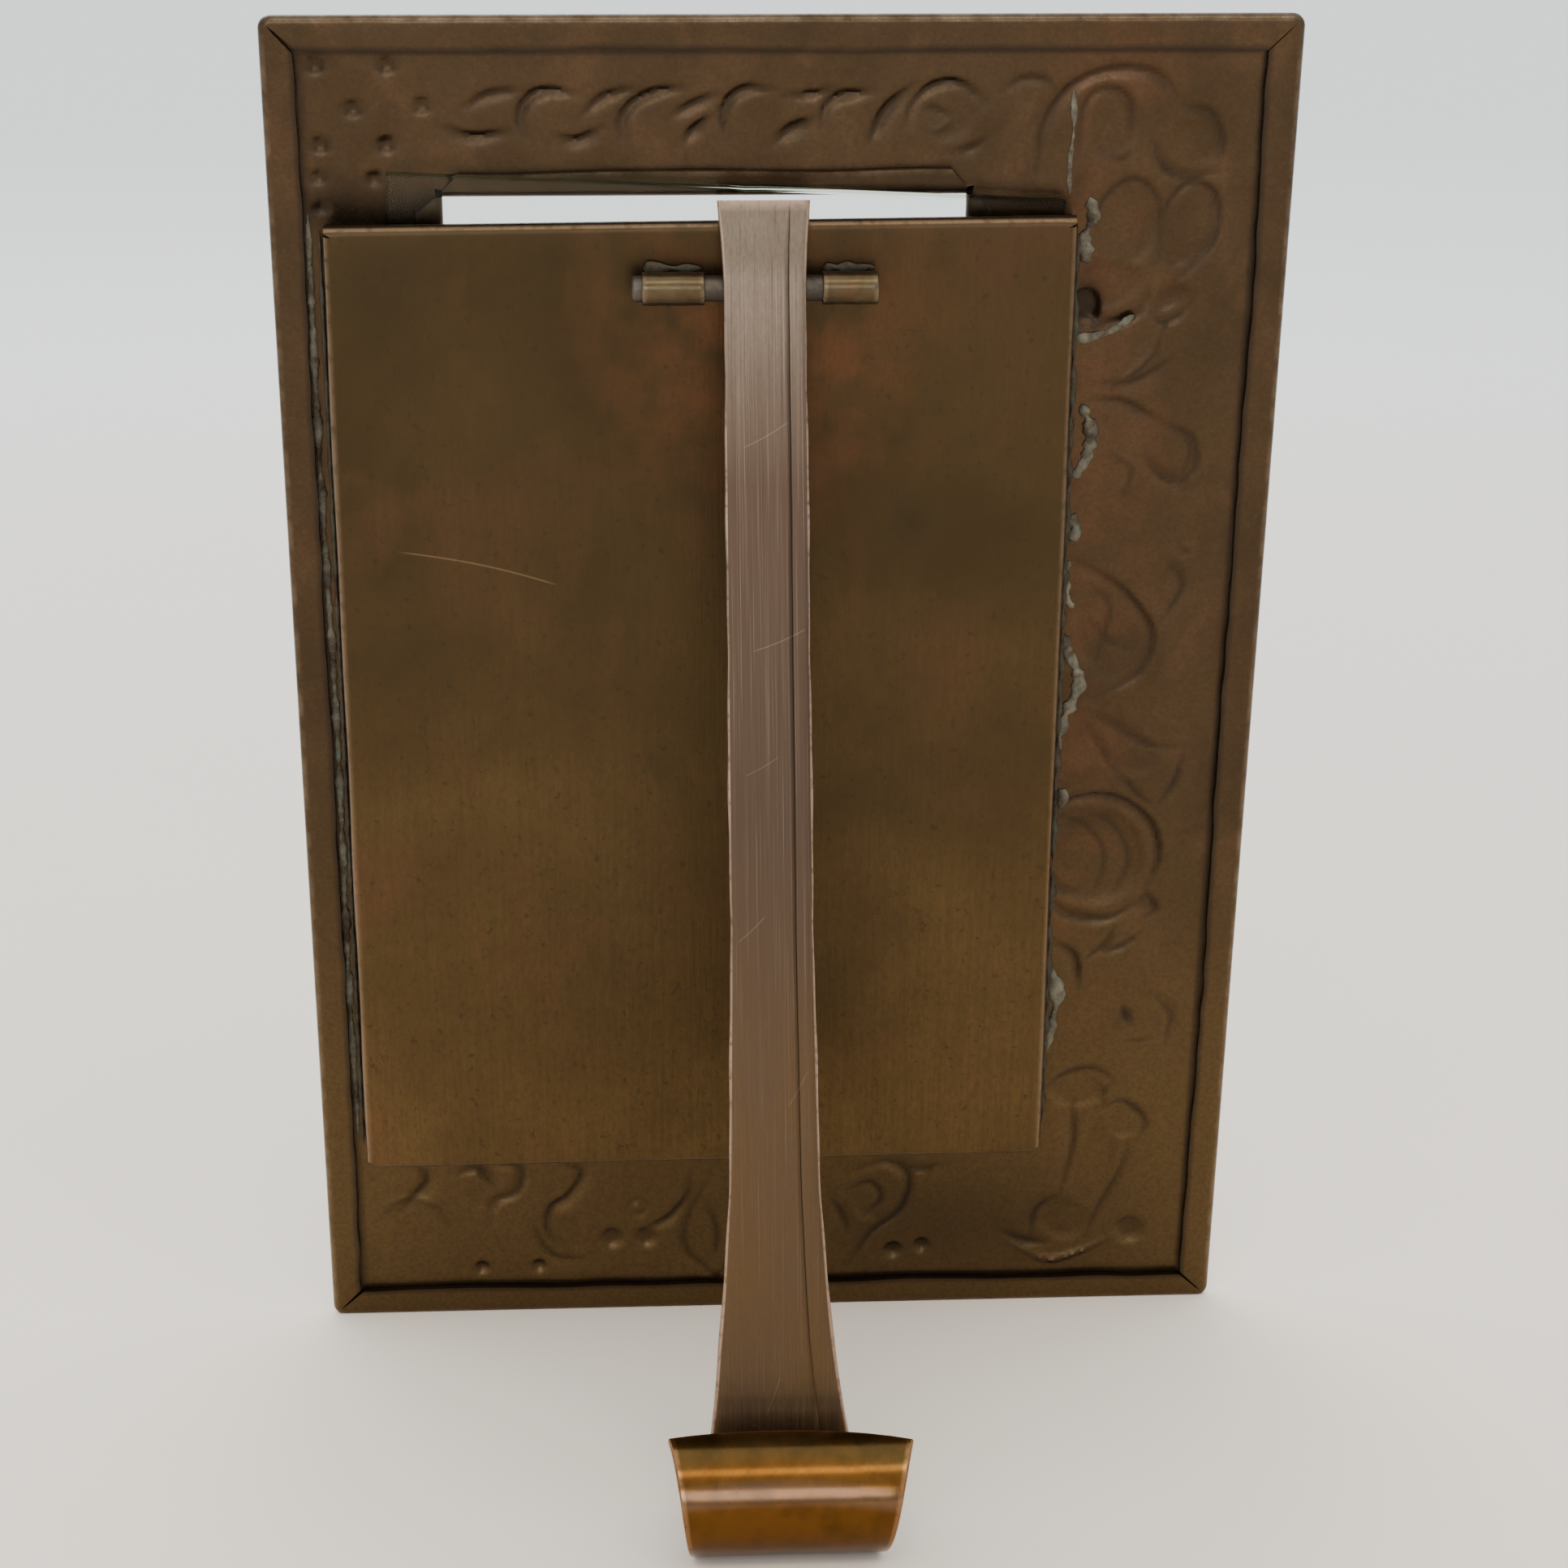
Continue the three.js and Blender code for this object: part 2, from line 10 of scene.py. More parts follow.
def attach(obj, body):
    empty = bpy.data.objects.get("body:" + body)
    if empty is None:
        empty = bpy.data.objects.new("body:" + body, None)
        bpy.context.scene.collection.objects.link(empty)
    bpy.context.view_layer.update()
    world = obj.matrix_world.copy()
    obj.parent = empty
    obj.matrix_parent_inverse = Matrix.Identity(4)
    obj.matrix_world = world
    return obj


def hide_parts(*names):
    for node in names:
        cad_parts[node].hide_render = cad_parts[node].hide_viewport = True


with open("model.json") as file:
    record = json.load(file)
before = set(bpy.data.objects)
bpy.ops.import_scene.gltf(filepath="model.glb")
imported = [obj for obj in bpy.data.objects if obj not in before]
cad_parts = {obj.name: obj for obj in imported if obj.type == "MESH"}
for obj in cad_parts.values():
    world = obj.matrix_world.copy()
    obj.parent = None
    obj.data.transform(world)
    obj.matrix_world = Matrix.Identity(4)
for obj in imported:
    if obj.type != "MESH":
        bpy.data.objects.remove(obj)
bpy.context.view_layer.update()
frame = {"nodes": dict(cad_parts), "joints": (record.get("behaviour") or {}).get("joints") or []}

# An easel-back photograph frame in embossed copper. Lengths are in millimetres until a piece is made,
# which turns them into metres. The sheet is drawn upright: x across, y backwards from its front face
# and z up it. The embossing is drawn as seen from behind: u from the left edge and v from the top.
MM = 0.001
JOINTS = {joint["name"]: joint for joint in frame["joints"]}
RANDOM_SEED = 11

# Face sheet
FACE_WIDTH = 135.8
FACE_HEIGHT = 200.0
SHEET = 0.9
HEM_THICKNESS = 2.0
HEM_RADIUS = HEM_THICKNESS / 2
HEM_WIDTH = 4.5
HEM_SLIT = 0.28
HEM_LINE = HEM_WIDTH - HEM_RADIUS + 0.2
HEIGHT_TRIM = 0.9999
CORNER_RADIUS = 1.7
WINDOW_LEFT, WINDOW_RIGHT = -24.2, 45.0
WINDOW_BOTTOM, WINDOW_TOP = 43.5, 176.2
LIP_THICKNESS = 2.0
LIP_RADIUS = LIP_THICKNESS / 2
LIP_WIDTH = 3.3
LIP_LIFT = 0.12
FACE_CELL = 0.5
PLAIN_CELL = 0.7
FOLD_STEPS = 7
HAIR = 1e-6

# Pocket: corners of its plate in x and z
POCKET_TOP_LEFT = (60.6, 173.6)
POCKET_TOP_RIGHT = (-38.6, 174.5)
POCKET_LOW_LEFT = (61.2, 29.6)
POCKET_LOW_RIGHT = (-39.7, 30.0)
POCKET_WIDTH, POCKET_HEIGHT = 100.0, 144.5
POCKET_BACK = 7.2
POCKET_BEND = 1.2
POCKET_FOOT = 1.2
POCKET_HEM_THICKNESS = 2.6
POCKET_HEM_WIDTH = 5.0
POCKET_CELL = 2.0
WALL_STEPS = 3

# Hinge and strut
STRUT_OPENING = math.radians(21.7)
TUBE_RADIUS = 2.2
TUBE_BORE = 1.83
TUBE_SPANS = {"left": (10.8, 19.0), "right": (-12.0, -4.7)}
ROD_RADIUS = 1.75
ROD_SPAN = (-11.4, 20.4)
TURNED_SIDES = 48
STRAP = 1.1
STRAP_AXIS = ROD_RADIUS + 0.3 + STRAP / 2
STRAP_X = 3.0
STRAP_CORNER = 0.3
TAIL = 11.2
TAIL_BEND = 2.0
TAIL_SET = math.radians(5.5)
CURL_RADIUS = 8.45
CURL_MIDDLE = CURL_RADIUS - STRAP / 2
CURL_TURN = math.radians(253.3)
CURL_END = 22
CURL_END_BOW = 1.8
CURL_END_SKEW = 0.6
CURL_END_REACH = 0.55
GROOVE_T = -0.6
GROOVE_HALF = 0.018
GROOVE_DEPTH = 0.07
# (distance down the strap, half width) and (distance down the strap, middle in x)
STRAP_HALF_WIDTHS = [
    (-11.2, 6.2), (-8, 5.75), (-4, 5.45), (20, 5.5), (90, 5.6), (118, 6.1), (135, 7.2),
    (148, 8.6), (156, 9.9), (164, 11.5), (172, 12.8), (182, 14.15), (190, 15.5), (196, 16.8),
]
STRAP_CENTRES = [(-11.2, 3.0), (140, 3.0), (196, 1.7)]

# Pane
PANE_SIZE = (89.5, 2.0, 144.5)
PANE_TURN = math.radians(2.6)
PANE_LOW_CORNER = (-30.7, 2.3, 31.5)
PANE_BEVEL = 0.22


# ---------------------------------------------------------------- places
UP = Vector(JOINTS["pane_slide"]["axis"]).normalized()
HINGE_PLACE = Vector(JOINTS["strut_hinge"]["pos_m"])


def upright_matrix():
    """Carries the upright sheet, in millimetres, to its leaning place in the frame, in metres."""
    across = Vector((1, 0, 0))
    back = UP.cross(across)
    points = [v.co for v in frame["nodes"]["face_sheet"].data.vertices]
    top = max(p.dot(UP) for p in points) - FACE_HEIGHT * MM
    rear = max(p.dot(back) for p in points) - HEM_THICKNESS * MM
    turn = Matrix((across, back, UP)).transposed().to_4x4()
    return Matrix.Translation(UP * top + back * rear) @ turn @ Matrix.Scale(MM, 4)


def strut_matrix():
    """Carries the strut's own drawing, hinge axis at the origin and strap hanging down, to its place."""
    turn = Matrix.Rotation(STRUT_OPENING - math.atan2(UP.y, UP.z), 4, "X")
    return Matrix.Translation(HINGE_PLACE) @ turn @ Matrix.Scale(MM, 4)


UPRIGHT = upright_matrix()
STRUT = strut_matrix()
HINGE = UPRIGHT.inverted() @ HINGE_PLACE


# ---------------------------------------------------------------- meshes
def face_outwards(mesh):
    """Turns a closed mesh's faces outwards, by the sign of its volume."""
    solid = bmesh.new()
    solid.from_mesh(mesh)
    inside_out = solid.calc_volume(signed=True) < 0
    solid.free()
    if inside_out:
        mesh.flip_normals()


def show(name, data):
    made = bpy.data.objects.new(name, data)
    bpy.context.scene.collection.objects.link(made)
    return made


def piece(name, points, faces, to_frame, attributes, sharp=40):
    """A mesh object from points in millimetres, carried to the frame, with values for its material."""
    points = np.asarray(points, float).reshape(-1, 3)
    matrix = np.array(to_frame)
    placed = points @ matrix[:3, :3].T + matrix[:3, 3]
    mesh = bpy.data.meshes.new(name)
    mesh.from_pydata(placed.tolist(), [], [list(map(int, face)) for face in faces])
    mesh.validate()
    face_outwards(mesh)
    mesh.shade_smooth()
    mesh.set_sharp_from_angle(angle=math.radians(sharp))
    place = mesh.attributes.new("place", "FLOAT_VECTOR", "POINT")
    place.data.foreach_set("vector", points.astype(np.float32).ravel())
    for key, values in attributes.items():
        value = mesh.attributes.new(key, "FLOAT", "POINT")
        value.data.foreach_set("value", np.asarray(values, np.float32).ravel())
    return show(name, mesh)


def dress(made, body, material, slot, *nodes):
    """Gives a piece its body, finish and the CAD nodes that it stands for."""
    made.data.materials.append(material)
    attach(made, body)
    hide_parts(*nodes)


def grid_quads(rows, flip=False):
    """Quads between neighbouring rows of point numbers."""
    rows = np.asarray(rows)
    a, b = rows[:-1, :-1].ravel(), rows[:-1, 1:].ravel()
    c, d = rows[1:, 1:].ravel(), rows[1:, :-1].ravel()
    quads = np.stack([a, d, c, b] if flip else [a, b, c, d], axis=1)
    return quads[(quads >= 0).all(axis=1)]


def sheet_faces(quads, count):
    """Faces of a closed sheet: the outer skin's quads, the inner skin's, and the rim between them."""
    start = quads.ravel()
    end = np.roll(quads, -1, axis=1).ravel()
    size = count + 1
    free = ~np.isin(start * size + end, end * size + start)
    a, b = start[free], end[free]
    rim = np.stack([b, a, a + count, b + count], axis=1)
    return np.vstack([quads, quads[:, ::-1] + count, rim])


def lathe_faces(rings, around, closed=False):
    """Faces of a tube of rings, each of the same number of points, with flat ends or closed on itself."""
    faces = []
    for ring in range(rings if closed else rings - 1):
        after = (ring + 1) % rings
        for i in range(around):
            j = (i + 1) % around
            faces.append((ring * around + i, ring * around + j, after * around + j, after * around + i))
    if not closed:
        faces.append(tuple(range(around))[::-1])
        faces.append(tuple((rings - 1) * around + i for i in range(around)))
    return faces


def ripple(x, z, wavelength, seed, waves=9):
    """A smooth random surface between about -1 and 1."""
    rng = np.random.default_rng(seed)
    total = np.zeros(np.broadcast(x, z).shape)
    for _ in range(waves):
        angle, phase = rng.uniform(0, 2 * math.pi, 2)
        stretch = rng.uniform(0.7, 1.6)
        turn = 2 * math.pi / (wavelength * stretch)
        total += np.sin((x * math.cos(angle) + z * math.sin(angle)) * turn + phase)
    return total / math.sqrt(waves) / 1.4


# ---------------------------------------------------------------- embossing
# Strokes: (rise, width, lean, then u and v of each point). A positive rise is pressed out from behind.
# Lean is the side that slopes away gently: 1 for the left of the stroke's travel, -1 for its right.
TOP_BORDER = [
    (0.6, 0.5, -1, 26.1, 11.9, 29.4, 10.2, 33.5, 9.8), (0.65, 0.5, -1, 23.3, 14.6, 27.3, 15.8, 32, 15.1),
    (0.85, 0.5, -1, 34, 16.1, 33, 13.1, 34.5, 10.6, 37.2, 9.7, 40.7, 10.3),
    (0.65, 0.5, -1, 41.2, 13.1, 44.2, 10.6, 48.7, 9.5), (0.65, 0.5, -1, 38, 15.8, 40.7, 16.3, 43.9, 14.8),
    (0.85, 0.5, -1, 46.6, 16.3, 46.2, 14.1, 47.7, 11.6, 50.6, 10.1, 54.6, 9.5),
    (0.65, 0.5, -1, 53.1, 13.1, 55.6, 11.8, 59, 10.3), (0.75, 0.5, -1, 54.6, 16.8, 55.6, 15.3, 58.1, 13.3),
    (0.85, 0.5, -1, 60.6, 16.1, 59.6, 13.1, 60.6, 10.9, 63, 9.6, 66, 9.8),
    (0.6, 0.4, -1, 68, 10.6, 71.5, 10.3, 74.5, 9.8), (0.8, 0.7, -1, 66.5, 16.6, 69, 14.8, 71.5, 13.9),
    (0.85, 0.5, -1, 72.7, 14.8, 73, 12.3, 75, 10.6, 79.5, 10.1),
    (0.95, 0.6, -1, 79, 16.8, 81, 12.6, 84.7, 9.3),
    (0.85, 0.5, -1, 83.7, 14.8, 84.7, 11.6, 87.4, 9.3, 90.9, 9.1, 94.4, 11.6),
    (0.55, 0.4, -1, 85.9, 12.1, 87.9, 12.5, 89.9, 13.6), (-0.4, 0.4, 0, 86.6, 15.5, 88.4, 15.4, 90.2, 14),
    (0.4, 0.4, -1, 90.1, 18.1, 92.6, 17.6, 94.6, 16.3),
    (0.35, 0.5, -1, 96.5, 10, 99, 8.4, 102, 8.6, 103.6, 10.4),
]
TOP_FLOWER = [
    (0.75, 0.6, -1, 101.5, 21, 102, 14.5, 105.5, 9.4, 111, 7.2, 117, 8, 120.6, 12.4),
    (0.6, 0.6, -1, 120.6, 12.4, 124, 13, 126, 16.4, 126, 21),
    (0.5, 0.5, -1, 106.8, 19, 107.4, 11.8, 110.5, 9.8, 113.4, 11.6, 113.8, 18),
    (0.4, 0.4, 0, 113.8, 18, 112.8, 19.4, 111, 18.8),
    (0.65, 0.55, 1, 116.8, 16.5, 118.6, 20.4, 122.4, 21.8, 126.2, 21.2),
    (0.45, 0.5, -1, 109.6, 31, 110.4, 25, 114.4, 22, 118, 25, 118, 31),
    (0.6, 0.5, -1, 118.6, 33, 118.6, 27, 121.6, 22.6, 125.4, 24, 126.2, 29, 123.4, 34, 119.6, 37),
    (0.8, 0.7, 1, 106.6, 36.5, 110.6, 42, 116, 40.6, 117.4, 36.6),
    (0.6, 0.5, 1, 117.6, 40.6, 120.6, 41.8, 123.6, 38.6),
    (-0.55, 0.55, 0, 119.6, 42, 118.6, 46, 115.4, 49.4, 112, 51.4),
    (0.5, 0.45, -1, 110.4, 52.6, 115, 53.2, 120, 56), (0.35, 0.5, -1, 110.6, 50.6, 116, 50, 121, 47),
]
SIDE_LEAVES = [
    (0.5, 0.5, -1, 120, 56, 124.6, 58.6, 125.2, 63, 121.6, 66.4),
    (-0.35, 0.4, 0, 123.2, 57, 124.4, 60.4, 123.4, 64.6), (0.6, 0.45, 1, 118, 61, 120.6, 64, 125, 66),
    (-0.4, 0.5, 0, 113.6, 60.5, 116.4, 63, 115.2, 67.6),
    (0.75, 0.55, -1, 109.5, 76.5, 113, 78.6, 117.2, 82, 120.8, 88, 119.2, 94, 113.4, 97.6),
    (0.45, 0.5, 1, 111.6, 85, 114.4, 88.8, 118, 90), (0.3, 0.6, -1, 111.8, 80, 114.6, 84, 112.8, 92),
    (0.55, 0.7, 1, 121.6, 76, 124.6, 80.4, 121.8, 86), (0.4, 0.5, 0, 123.6, 74.8, 125.6, 75.6),
    (0.55, 0.5, 1, 112, 100, 117, 102.6, 121, 105.2, 126.4, 106),
    (0.45, 0.5, -1, 126.4, 106, 125.4, 111, 122.8, 115.4),
    (0.45, 0.5, 1, 112, 102, 114.6, 106, 117.6, 111), (0.4, 0.5, -1, 117, 109, 120, 113, 123, 115),
]
POMEGRANATE = [
    (0.85, 0.6, -1, 106, 117.5, 110.4, 113.6, 116.6, 113.4, 122, 117.4, 123.6, 123.6, 121.4, 130.4),
    (0.75, 0.6, -1, 121.4, 130.4, 116.6, 133.6, 110.6, 132.6, 106.6, 129),
    (0.45, 0.5, -1, 107.6, 116, 112.6, 118, 115.8, 123, 114.6, 129.6),
    (0.45, 0.5, -1, 111.4, 115, 116.6, 118, 119.4, 123.4, 117.8, 129),
    (0.55, 0.6, 1, 105.4, 124, 109.6, 128.4, 114.6, 129.8),
    (0.6, 0.45, 0, 120.4, 131.4, 122.4, 129.6, 123.6, 132.2, 121.4, 133.6),
    (0.45, 0.5, -1, 118, 134.6, 116.6, 137.6, 113, 141),
    (0.6, 0.45, 1, 114.6, 138.6, 118.4, 138.6, 122, 135.8),
    (0.6, 0.55, -1, 109, 137, 112.2, 139.6, 112.8, 145),
]
LOW_STEM = [
    (0.6, 0.55, -1, 108.4, 163.2, 111.6, 159.8, 116, 159, 119.2, 161.2),
    (0.4, 0.45, 0, 119.2, 161.2, 117.6, 163.4, 118.2, 166),
    (0.6, 0.5, -1, 117, 166.4, 120.8, 164.8, 124.4, 168.4, 123, 172),
    (0.6, 0.5, 1, 122, 171.6, 120.6, 177.6, 117.6, 184.6, 116.2, 189),
    (0.55, 0.6, -1, 113, 164, 113.6, 172, 112, 181), (0.55, 0.55, -1, 112, 181, 108.4, 184, 107.6, 189),
    (-0.7, 0.6, 0, 104, 189.6, 110, 192.8, 115.4, 191.6, 121.4, 188.6),
    (0.7, 0.6, 1, 103, 187.6, 106.4, 189.6, 111, 190.2),
    (0.35, 0.5, 1, 124, 146, 127, 149.8, 126.4, 154.6), (0.5, 0.8, 0, 119.6, 148.2, 121, 151.4),
    (-0.3, 0.4, 0, 121, 154, 124.8, 153.6),
]
BOTTOM_BORDER = [
    (0.75, 0.6, 1, 13.4, 173.6, 15, 176.4, 11, 181.4),
    (-0.35, 0.7, 0, 7.6, 182.6, 11.4, 179.6, 16.4, 181, 17.6, 184),
    (0.8, 0.6, 1, 19.8, 175.4, 23, 175, 26, 178.4),
    (0.7, 0.55, -1, 24, 173.4, 29.4, 174.6, 28.8, 179, 25.4, 180.8, 24.8, 184.4),
    (0.8, 0.6, 1, 34.6, 172.8, 38.4, 175.4, 36.4, 179.6, 33.6, 182, 33.2, 186.4, 36.8, 190.4),
    (0.45, 0.6, -1, 30.6, 184, 33.6, 190, 38.6, 191.2),
    (0.8, 0.6, 1, 54.8, 176.8, 54.6, 180, 51.6, 184, 47.6, 186),
    (0.7, 0.55, -1, 58.4, 176.6, 54.8, 184, 54.6, 190, 59.2, 195),
    (0.7, 0.55, 1, 60.6, 179, 63.2, 184.6, 61.6, 191, 59.2, 195),
    (0.5, 0.6, 0, 57.8, 182, 59.2, 187, 58.8, 192), (0.6, 0.55, 1, 76.4, 181, 78.2, 184, 79.4, 187.6),
    (0.75, 0.6, -1, 80.4, 176, 85, 174.6, 88.6, 177.6, 87.4, 183.6, 83, 187.6, 79.4, 193.4),
    (0.5, 0.5, -1, 79, 179.6, 82.6, 178.4, 84.4, 181.4, 81.4, 184.6),
    (0.55, 0.55, 1, 85.4, 173.6, 89.6, 176.4, 93.4, 175.2),
]
HIDDEN_SIDE = [
    (0.7, 0.6, 1, 98.6, 60, 102.6, 68, 105.8, 80, 104.6, 92, 99.4, 101),
    (0.55, 0.6, -1, 99.6, 66, 97.2, 74, 99, 83), (0.6, 0.6, 1, 98.2, 104, 103, 112, 101.6, 121, 98.4, 131),
    (0.6, 0.6, -1, 99.4, 136, 103.8, 144, 102.8, 153, 97.6, 160),
    (0.55, 0.6, 1, 96.6, 34, 100.4, 42, 104.4, 50),
]
# One leaf pair of the climbing stem on the narrow side, and one arch of the border under the window
NARROW_SIDE_LEAVES = [
    (0.6, 0.6, 0, 13.6, 14, 11.8, 10, 13.2, 5, 14.8, 0), (0.6, 0.55, -1, 13, 9, 9.8, 7.6, 8.8, 3.6, 11, 2.4),
    (0.6, 0.55, 1, 13.4, 7, 17, 6, 18.4, 2.2, 16.4, 0.6),
]
LOW_ARCH = [
    (0.6, 0.6, -1, 0, 172.6, 2.4, 166.4, 7, 163.2, 11.6, 166.4, 14, 172.6),
    (0.5, 0.5, 0, 7, 170.4, 5.4, 167.4, 7, 165.4, 8.6, 167.4, 7, 170.4),
]
# Each group's strokes, its share of the full depth, and where it is repeated
STROKE_GROUPS = [
    (TOP_BORDER, 1.0, [(0, 0)]), (TOP_FLOWER, 0.95, [(0, 0)]), (SIDE_LEAVES, 0.85, [(0, 0)]),
    (POMEGRANATE, 1.0, [(0, 0)]), (LOW_STEM, 0.9, [(0, 0)]), (BOTTOM_BORDER, 1.0, [(0, 0)]),
    (HIDDEN_SIDE, 0.8, [(0, 0)]), (NARROW_SIDE_LEAVES, 0.8, [(0, v) for v in range(34, 160, 16)]),
    (LOW_ARCH, 0.8, [(u, 0) for u in range(14, 80, 18)]),
]
# Mounds: (u, v, half width, half height, turn in degrees, rise, crispness of the edge)
MOUNDS = [
    (114, 28.6, 4.4, 6.6, 8, 0.55, 0.5), (122.6, 28.8, 3.8, 6.4, 22, 0.6, 0.5),
    (111.6, 14.6, 3.6, 5, 0, 0.4, 0.5), (122.4, 17.4, 4.2, 3.6, 20, 0.45, 0.4),
    (111.6, 36.6, 5.6, 4.6, 0, 0.7, 0.3), (109, 39.4, 2.6, 3.2, 0, 1.6, 0.2),
    (120.2, 38.6, 3.6, 2.3, -18, 0.95, 0), (114.6, 88, 5.4, 8.6, -16, 0.5, 0.5),
    (122.6, 80.6, 2.4, 4.6, 8, 0.55, 0.2), (114.2, 123, 9.2, 9.4, 0, 1.0, 0.35),
    (119, 106.6, 4.4, 3.6, 35, 0.4, 0.4), (122, 131.4, 1.9, 1.5, 0, 0.5, 0),
    (113.6, 162.6, 4.6, 3.4, 0, 0.5, 0.4), (121, 168.4, 3.2, 3.2, 0, 0.5, 0.4),
    (116.6, 176, 3.6, 9.6, 10, 0.45, 0.4), (112.6, 185.6, 4.6, 4.6, 0, 0.6, 0.3),
    (123, 188, 2.9, 2.9, 0, 0.95, 0), (89, 13, 4.6, 4.6, 0, 0.45, 0.3), (57.4, 187, 3.2, 7.6, 0, 0.5, 0.4),
    (83.4, 181, 4.4, 5, 20, 0.45, 0.4), (36.4, 186.6, 2.6, 4, -20, 0.4, 0.2),
    (24, 179.6, 3.4, 3, 20, 0.4, 0.2), (101.4, 80, 3.4, 9.4, 4, 0.5, 0.4), (100.6, 118, 3, 8, 0, 0.5, 0.4),
    (101, 148, 3, 7, 0, 0.5, 0.4), (47, 182, 1.9, 1.9, 0, 0.35, 0.7),
]
# Punched dots: (u, v, radius, rise)
DOTS = [
    (7, 6.5, 1.4, 0.75), (16.3, 6.5, 1.4, 0.75), (11.7, 12.2, 1.4, 0.75), (20.6, 11.8, 1.4, 0.75),
    (7.2, 17, 1.4, 0.75), (15.8, 17, 1.4, 0.75), (6.8, 21.3, 1.2, 0.6), (14, 21.5, 1.2, 0.6),
    (6.9, 25.4, 1.1, 0.5), (43, 187.5, 2.1, 0.8), (48.2, 187.5, 2.1, 0.8), (47, 182, 1.0, -0.5),
    (23, 192.4, 1.3, 0.75), (31.8, 192.3, 1.3, 0.75), (86.4, 190.8, 1.7, 0.9), (90.8, 190, 1.5, 0.8),
    (84, 184.6, 1.3, 0.5),
]
# Dark spots on the face and smudges on the pocket: (across, down or up, half width, half height, strength)
# The face spot at (96, 186) is painted shadow under the pocket's lower corner
DARK_SPOTS = [
    (109, 39, 2.6, 3.6, 1.0), (9, 25, 5, 3.4, 0.7), (14, 24, 7, 2.4, 0.45), (17, 27, 9, 4, 0.55),
    (120, 150, 2, 2, 0.35), (96, 186, 22, 9, 0.45), (22, 25.4, 11, 3.2, 0.9), (107, 22, 1.6, 3, 0.4),
    (100, 24.5, 9, 1.5, 0.35),
]
POCKET_SMUDGES = [
    (-17.3, 132, 2.6, 3.2, 0.55), (-14, 90, 9, 5, 0.35), (17.6, 96, 2.2, 1.8, 0.5),
    (16, 167.6, 4.4, 2, 0.5), (-8.6, 167.8, 4, 2.2, 0.5), (-5, 60, 14, 9, 0.25), (24, 70, 12, 16, 0.2),
    (52, 168, 7, 5, 0.2),
]
MOUND_SHARE = 0.8
MOUND_UNDER_STROKE = 0.6
STROKE_WIDTH = 0.78
CHASED_LINE = 0.42
LEAN_SPREAD = 2.8
STROKE_REACH = 3.0
STROKE_STEP = 0.4


def strokes():
    """Every stroke of the embossing, as (points, rise, width, lean)."""
    for group, share, places in STROKE_GROUPS:
        for place in places:
            for rise, width, lean, *points in group:
                yield np.reshape(points, (-1, 2)) + place, rise * share, width * STROKE_WIDTH, lean


def curve_through(points):
    """Close points along a smooth curve through the given ones, with their share of its length."""
    points = np.asarray(points, float)
    padded = np.vstack([2 * points[0] - points[1], points, 2 * points[-1] - points[-2]])
    found = []
    for i in range(1, len(padded) - 2):
        p0, p1, p2, p3 = padded[i - 1:i + 3]
        steps = max(2, int(np.linalg.norm(p2 - p1) / STROKE_STEP))
        for t in np.arange(steps) / steps:
            found.append(0.5 * (2 * p1 + (p2 - p0) * t + (2 * p0 - 5 * p1 + 4 * p2 - p3) * t * t
                                + (3 * p1 - p0 - 3 * p2 + p3) * t ** 3))
    found.append(points[-1])
    return np.array(found), np.linspace(0, 1, len(found))


def stroke_height(u, v, points, rise, width, lean):
    """The numbers of the grid points that a stroke reaches, its height there, and how near its line is."""
    path, share = curve_through(points)
    reach = STROKE_REACH * width * (LEAN_SPREAD if lean else 1)
    low, high = path.min(0) - reach, path.max(0) + reach
    near = np.nonzero((u > low[0]) & (u < high[0]) & (v > low[1]) & (v < high[1]))[0]
    offset = np.stack([u[near], v[near]], axis=1)[:, None] - path[None]
    gaps = np.hypot(offset[..., 0], offset[..., 1])
    nearest = gaps.argmin(axis=1)
    gap = gaps[np.arange(len(near)), nearest]
    along = np.gradient(path, axis=0)[nearest]
    across = offset[np.arange(len(near)), nearest]
    side = along[:, 0] * across[:, 1] - along[:, 1] * across[:, 0]
    taper = np.sin(math.pi * np.clip(share[nearest], 0.04, 0.96)) ** 0.6
    spread = width * np.where(side * lean < 0, LEAN_SPREAD, 1) * (0.5 + 0.5 * taper)
    return near, abs(rise) * taper * np.exp(-(gap / spread) ** 2), taper * np.exp(-(gap / CHASED_LINE) ** 2)


def mound_height(u, v, centre_u, centre_v, half_u, half_v, turn, rise, crisp):
    angle = math.radians(turn)
    du, dv = u - centre_u, v - centre_v
    a = (du * math.cos(angle) + dv * math.sin(angle)) / half_u
    b = (dv * math.cos(angle) - du * math.sin(angle)) / half_v
    inside = np.clip(1 - (a * a + b * b), 0, 1)
    edge = np.clip(inside / (1.02 - crisp), 0, 1)
    return MOUND_SHARE * rise * edge * edge * (3 - 2 * edge)


def relief(u, v):
    """How far the sheet is pressed out towards the front at each point, and the chased lines' mask."""
    raised, sunk, chased = np.zeros((3, len(u)))
    for mound in MOUNDS:
        raised = np.maximum(raised, mound_height(u, v, *mound))
    ground = raised.copy()
    for points, rise, width, lean in strokes():
        near, height, line = stroke_height(u, v, points, rise, width, lean)
        chased[near] = np.maximum(chased[near], line)
        target, base = (raised, ground[near] * MOUND_UNDER_STROKE) if rise > 0 else (sunk, 0)
        target[near] = np.maximum(target[near], height + base * (height > 0.05))
    for centre_u, centre_v, radius, rise in DOTS:
        gap = np.hypot(u - centre_u, v - centre_v) / radius
        target = raised if rise > 0 else sunk
        target[:] = np.maximum(target, abs(rise) * np.exp(-(gap * 1.25) ** 4))
    return raised - sunk, chased


